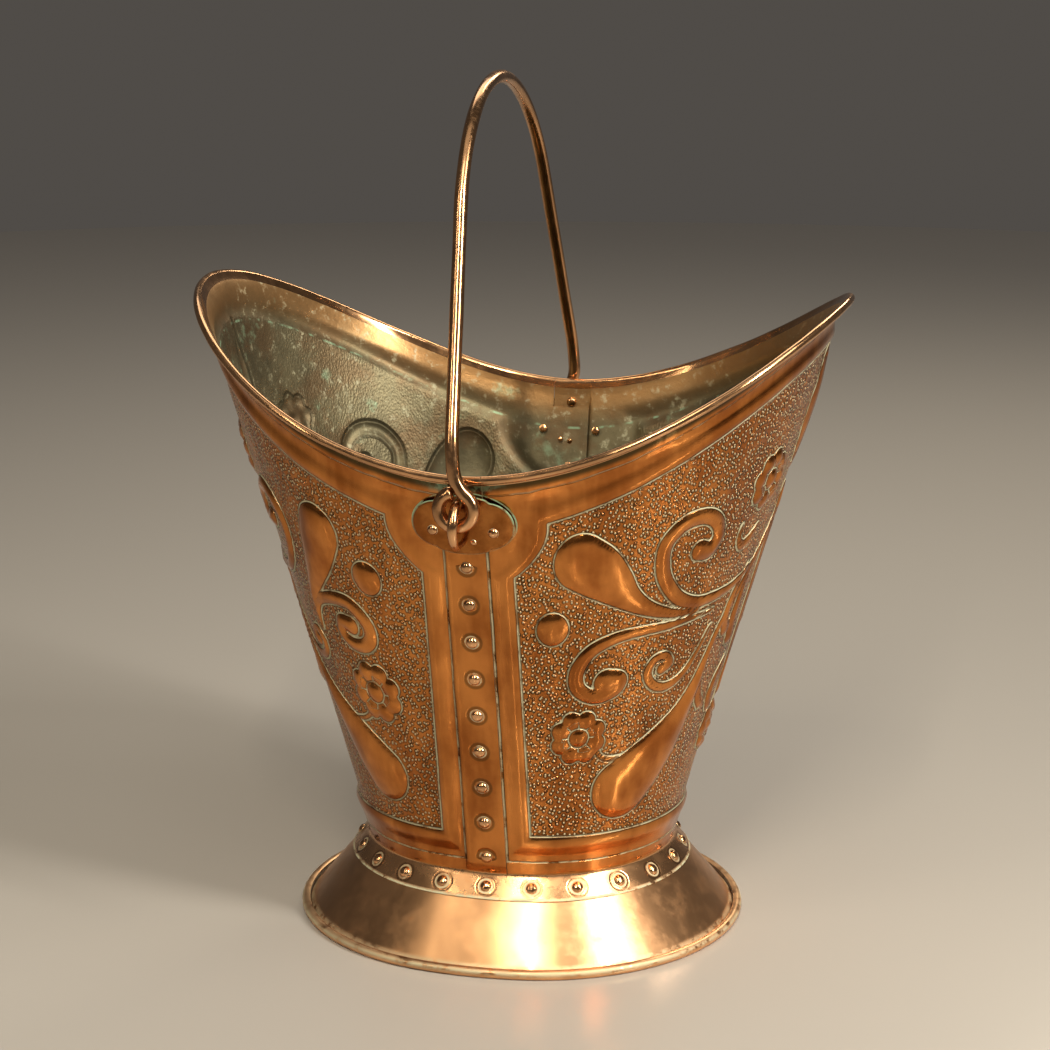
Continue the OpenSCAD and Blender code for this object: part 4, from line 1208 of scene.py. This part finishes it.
def staple(back):
    """D-shaped wire: top leg, turn in front of the eye, and a lower leg that tapers."""
    bucket, _, fit = sizes()
    play, room, top_in, low_in = 0.4 * MM, 0.6 * MM, 3 * MM, 1.5 * MM
    top_z = fit.eye_z + fit.eye_r - fit.rod_d / 2 - fit.staple_d / 2 - play
    low_z = top_z - fit.staple_span
    turn_r = fit.staple_span / 2
    turn_y = fit.pivot_y + fit.rod_d / 2 + play + fit.staple_d / 2 + room - turn_r
    top_wall, low_wall = bucket.seam(top_z)[0], bucket.seam(low_z)[0]
    line = [(y, top_z) for y in np.linspace(top_wall - top_in, turn_y, 6)[:-1]]
    line += arc((turn_y, (top_z + low_z) / 2), turn_r, math.pi / 2, -math.pi / 2, 26)
    line += [(y, low_z) for y in np.linspace(turn_y, low_wall - low_in, 8)[1:]]
    taper_from, taper_over = 18, 14     # in points: starts in the turn, ends in the lower leg
    thinner = np.clip((np.arange(len(line)) - taper_from) / taper_over, 0, 1)
    radii = (fit.staple_d + (fit.staple_tip_d - fit.staple_d) * thinner) / 2
    way = 1 if back else -1
    name = sided(back, "staple")
    piece = tube(name, [(0, way * y, z) for y, z in line], radii.tolist())
    rough_up(piece, 0.2 * MM, 0.014, 6)
    settle(piece, "bucket", [name], "bail_copper")


# ---- Bail --------------------------------------------------------------------

def bail_line(fit):
    """Half of the rod's centre line in its own plane, from the top down to the eye."""
    entry = math.radians(45)
    entry_r = fit.eye_r * math.cos(entry) / (1 - math.cos(entry))
    foot_h = (entry_r + fit.eye_r) * math.sin(entry)
    splay, bend_r = fit.leg_splay, fit.leg_bend_r
    arch_h = fit.bail_h - foot_h
    top_r = ((fit.pivot_y - bend_r * (1 - math.cos(splay))
              - math.tan(splay) * (arch_h - bend_r * math.sin(splay)))
             * math.cos(splay) / (1 - math.sin(splay)))
    arch = arc((0, fit.bail_h - top_r), top_r, math.pi / 2, splay, 40)
    bend = arc((fit.pivot_y - bend_r, foot_h), bend_r, splay, 0, 12)
    leg = [tuple(np.array(arch[-1]) + (np.array(bend[0]) - arch[-1]) * v)
           for v in np.linspace(0, 1, 22)[1:-1]]
    line = [(0.0, y, z) for y, z in arch + leg + bend]
    entering = arc((entry_r, foot_h), entry_r, math.pi, math.pi + entry, 12)[1:]
    eye = arc((0, 0), fit.eye_r, entry, math.radians(105) - 2 * math.pi, 60)[1:]
    line += [(-x, fit.pivot_y, z) for x, z in entering + eye]
    return line


def bail_handle():
    fit = sizes()[2]
    half = bail_line(fit)
    line = [(-x, -y, z) for x, y, z in half[:0:-1]] + half
    piece = tube("bail_handle", line, [fit.rod_d / 2] * len(line))
    piece.data.transform(Matrix.Translation((0, 0, fit.eye_z))
                         @ Matrix.Rotation(-fit.bail_lean, 4, "Y"))
    rough_up(piece, 0.2 * MM, 0.030, 9)
    settle(piece, "bail", ["bail_handle"], "bail_copper")


# ---- CAD nodes that stay -----------------------------------------------------

def dress_kept_nodes():
    for node, finish in (("floor_pan", "inside_patina"), ("rim_wire", "iron_wire"),
                         ("foot_wire", "iron_wire")):
        coat(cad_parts[node].data, finish)


# ---- Stage -------------------------------------------------------------------

# The camera that fits the photograph, found from the outlines of mouth, foot and seams
PHOTO_WIDTH = 1050
FOCAL_PIXELS = 2709.2
CAMERA_TURN = math.radians(13.59)
CAMERA_RISE = math.radians(14.2)
CAMERA_REACH = 1.68986
TARGET_X = 0.00221
TARGET_Z = 0.24855
WARM, WHITE = (1.0, 0.89, 0.70), (1.0, 0.94, 0.83)
LIT = (0, 0, 0.25)      # where all the lights look
# Soft lights: name, place, width, height, power and tint
SOFTBOXES = (
    ("left_strip", (-0.85, -1.15, 1.15), 0.06, 1.1, 3.5, WARM),
    ("front_strip", (0.12, -1.45, 1.55), 0.07, 1.0, 20, WARM),
    ("right_strip", (1.48, -0.66, 1.25), 0.12, 1.1, 36, WHITE),
    ("front_top", (0.17, -0.85, 1.85), 0.5, 0.5, 3.5, WHITE),
    ("right_top", (1.14, -0.15, 1.64), 0.5, 0.4, 4, WHITE),
    ("overhead", (0.1, -0.5, 2.5), 2.0, 1.4, 6, WHITE),
    ("back_top", (-0.4, 1.3, 2.0), 1.2, 0.8, 8, WHITE),
    ("back_strip", (0.35, 1.5, 1.5), 0.25, 1.0, 9, WARM),
)


def hang(name, data, place, back):
    """Places a light or the camera, its back turned the way that is given."""
    seat = bpy.data.objects.new(name, data)
    seat.location = place
    seat.rotation_euler = back.to_track_quat("Z", "Y").to_euler()
    bpy.context.scene.collection.objects.link(seat)
    return seat


def camera():
    back = Vector((math.sin(CAMERA_TURN) * math.cos(CAMERA_RISE),
                   -math.cos(CAMERA_TURN) * math.cos(CAMERA_RISE), math.sin(CAMERA_RISE)))
    target = Vector((TARGET_X * math.cos(CAMERA_TURN), TARGET_X * math.sin(CAMERA_TURN), TARGET_Z))
    data = bpy.data.cameras.new("photo_camera")
    data.sensor_width = 36
    data.lens = FOCAL_PIXELS / PHOTO_WIDTH * data.sensor_width
    bpy.context.scene.camera = hang("photo_camera", data, target + back * CAMERA_REACH, back)


def room():
    deselect()
    bpy.ops.mesh.primitive_circle_add(vertices=96, radius=3.2, fill_type="NGON")
    floor = bpy.context.object
    floor.name = "floor"
    coat(floor.data, "pale_floor")
    for name, place, width, height, power, tint in SOFTBOXES:
        data = bpy.data.lights.new(name, "AREA")
        data.shape = "RECTANGLE"
        data.size, data.size_y = width, height
        data.energy = power
        data.color = tint
        hang(name, data, place, Vector(place) - Vector(LIT))
    world = bpy.data.worlds.new("studio")
    world.use_nodes = True
    sky = world.node_tree.nodes["Background"]
    sky.inputs["Color"].default_value = (0.50, 0.45, 0.40, 1)
    sky.inputs["Strength"].default_value = 0.16
    bpy.context.scene.world = world
    bpy.context.scene.view_settings.view_transform = "Standard"


# ---- Operators ---------------------------------------------------------------

class SCUTTLE_OT_shells(bpy.types.Operator):
    """Both half shells with their worked panels, rolled rim and collar"""
    bl_idname = "scuttle.shells"
    bl_label = "Half shells"

    def execute(self, context):
        half_shell("right_body_shell", False)
        half_shell("left_body_shell", True)
        return {"FINISHED"}


class SCUTTLE_OT_foot(bpy.types.Operator):
    """Splayed foot with its ledge and rolled edge"""
    bl_idname = "scuttle.foot"
    bl_label = "Foot"

    def execute(self, context):
        foot_skirt()
        return {"FINISHED"}


class SCUTTLE_OT_seam_rivets(bpy.types.Operator):
    """Rivets down the two seams"""
    bl_idname = "scuttle.seam_rivets"
    bl_label = "Seam rivets"

    def execute(self, context):
        seam_rivet_row(False)
        seam_rivet_row(True)
        return {"FINISHED"}


class SCUTTLE_OT_collar_rivets(bpy.types.Operator):
    """Rivets round the collar"""
    bl_idname = "scuttle.collar_rivets"
    bl_label = "Collar rivets"

    def execute(self, context):
        collar_rivet_row()
        return {"FINISHED"}


class SCUTTLE_OT_ears(bpy.types.Operator):
    """Ear plates with their rivets and staples"""
    bl_idname = "scuttle.ears"
    bl_label = "Ears"

    def execute(self, context):
        for back in (False, True):
            ear_plate(back)
            ear_rivet_set(back)
            staple(back)
        return {"FINISHED"}


class SCUTTLE_OT_bail(bpy.types.Operator):
    """Swinging bail with its two eyes"""
    bl_idname = "scuttle.bail"
    bl_label = "Bail"

    def execute(self, context):
        bail_handle()
        return {"FINISHED"}


class SCUTTLE_OT_kept_nodes(bpy.types.Operator):
    """Finishes for the floor and the hidden wires"""
    bl_idname = "scuttle.kept_nodes"
    bl_label = "Floor and wires"

    def execute(self, context):
        dress_kept_nodes()
        return {"FINISHED"}


class SCUTTLE_OT_stage(bpy.types.Operator):
    """Pale floor, soft lights and the camera"""
    bl_idname = "scuttle.stage"
    bl_label = "Stage"

    def execute(self, context):
        room()
        camera()
        return {"FINISHED"}


class SCUTTLE_PT_panel(bpy.types.Panel):
    """Lists the steps that build the scuttle"""
    bl_idname = "SCUTTLE_PT_panel"
    bl_label = "Coal Scuttle"
    bl_space_type = "VIEW_3D"
    bl_region_type = "UI"
    bl_category = "Scuttle"

    def draw(self, context):
        for step in STEPS:
            self.layout.operator(step.bl_idname)


STEPS = (SCUTTLE_OT_shells, SCUTTLE_OT_foot, SCUTTLE_OT_seam_rivets, SCUTTLE_OT_collar_rivets,
         SCUTTLE_OT_ears, SCUTTLE_OT_bail, SCUTTLE_OT_kept_nodes, SCUTTLE_OT_stage)
GROUPS = {"scuttle_bucket": BucketSizes, "scuttle_foot": FootSizes,
          "scuttle_fittings": FittingSizes, "scuttle_colours": CopperColours}
CLASSES = (*GROUPS.values(), *STEPS, SCUTTLE_PT_panel)


def register():
    for made in CLASSES:
        bpy.utils.register_class(made)
    for name, group in GROUPS.items():
        setattr(bpy.types.Scene, name, PointerProperty(type=group))


def unregister():
    for name in GROUPS:
        delattr(bpy.types.Scene, name)
    for made in reversed(CLASSES):
        bpy.utils.unregister_class(made)


def main():
    register()
    for step in STEPS:
        area, name = step.bl_idname.split(".")
        getattr(getattr(bpy.ops, area), name)()


if __name__ == "__main__":
    main()
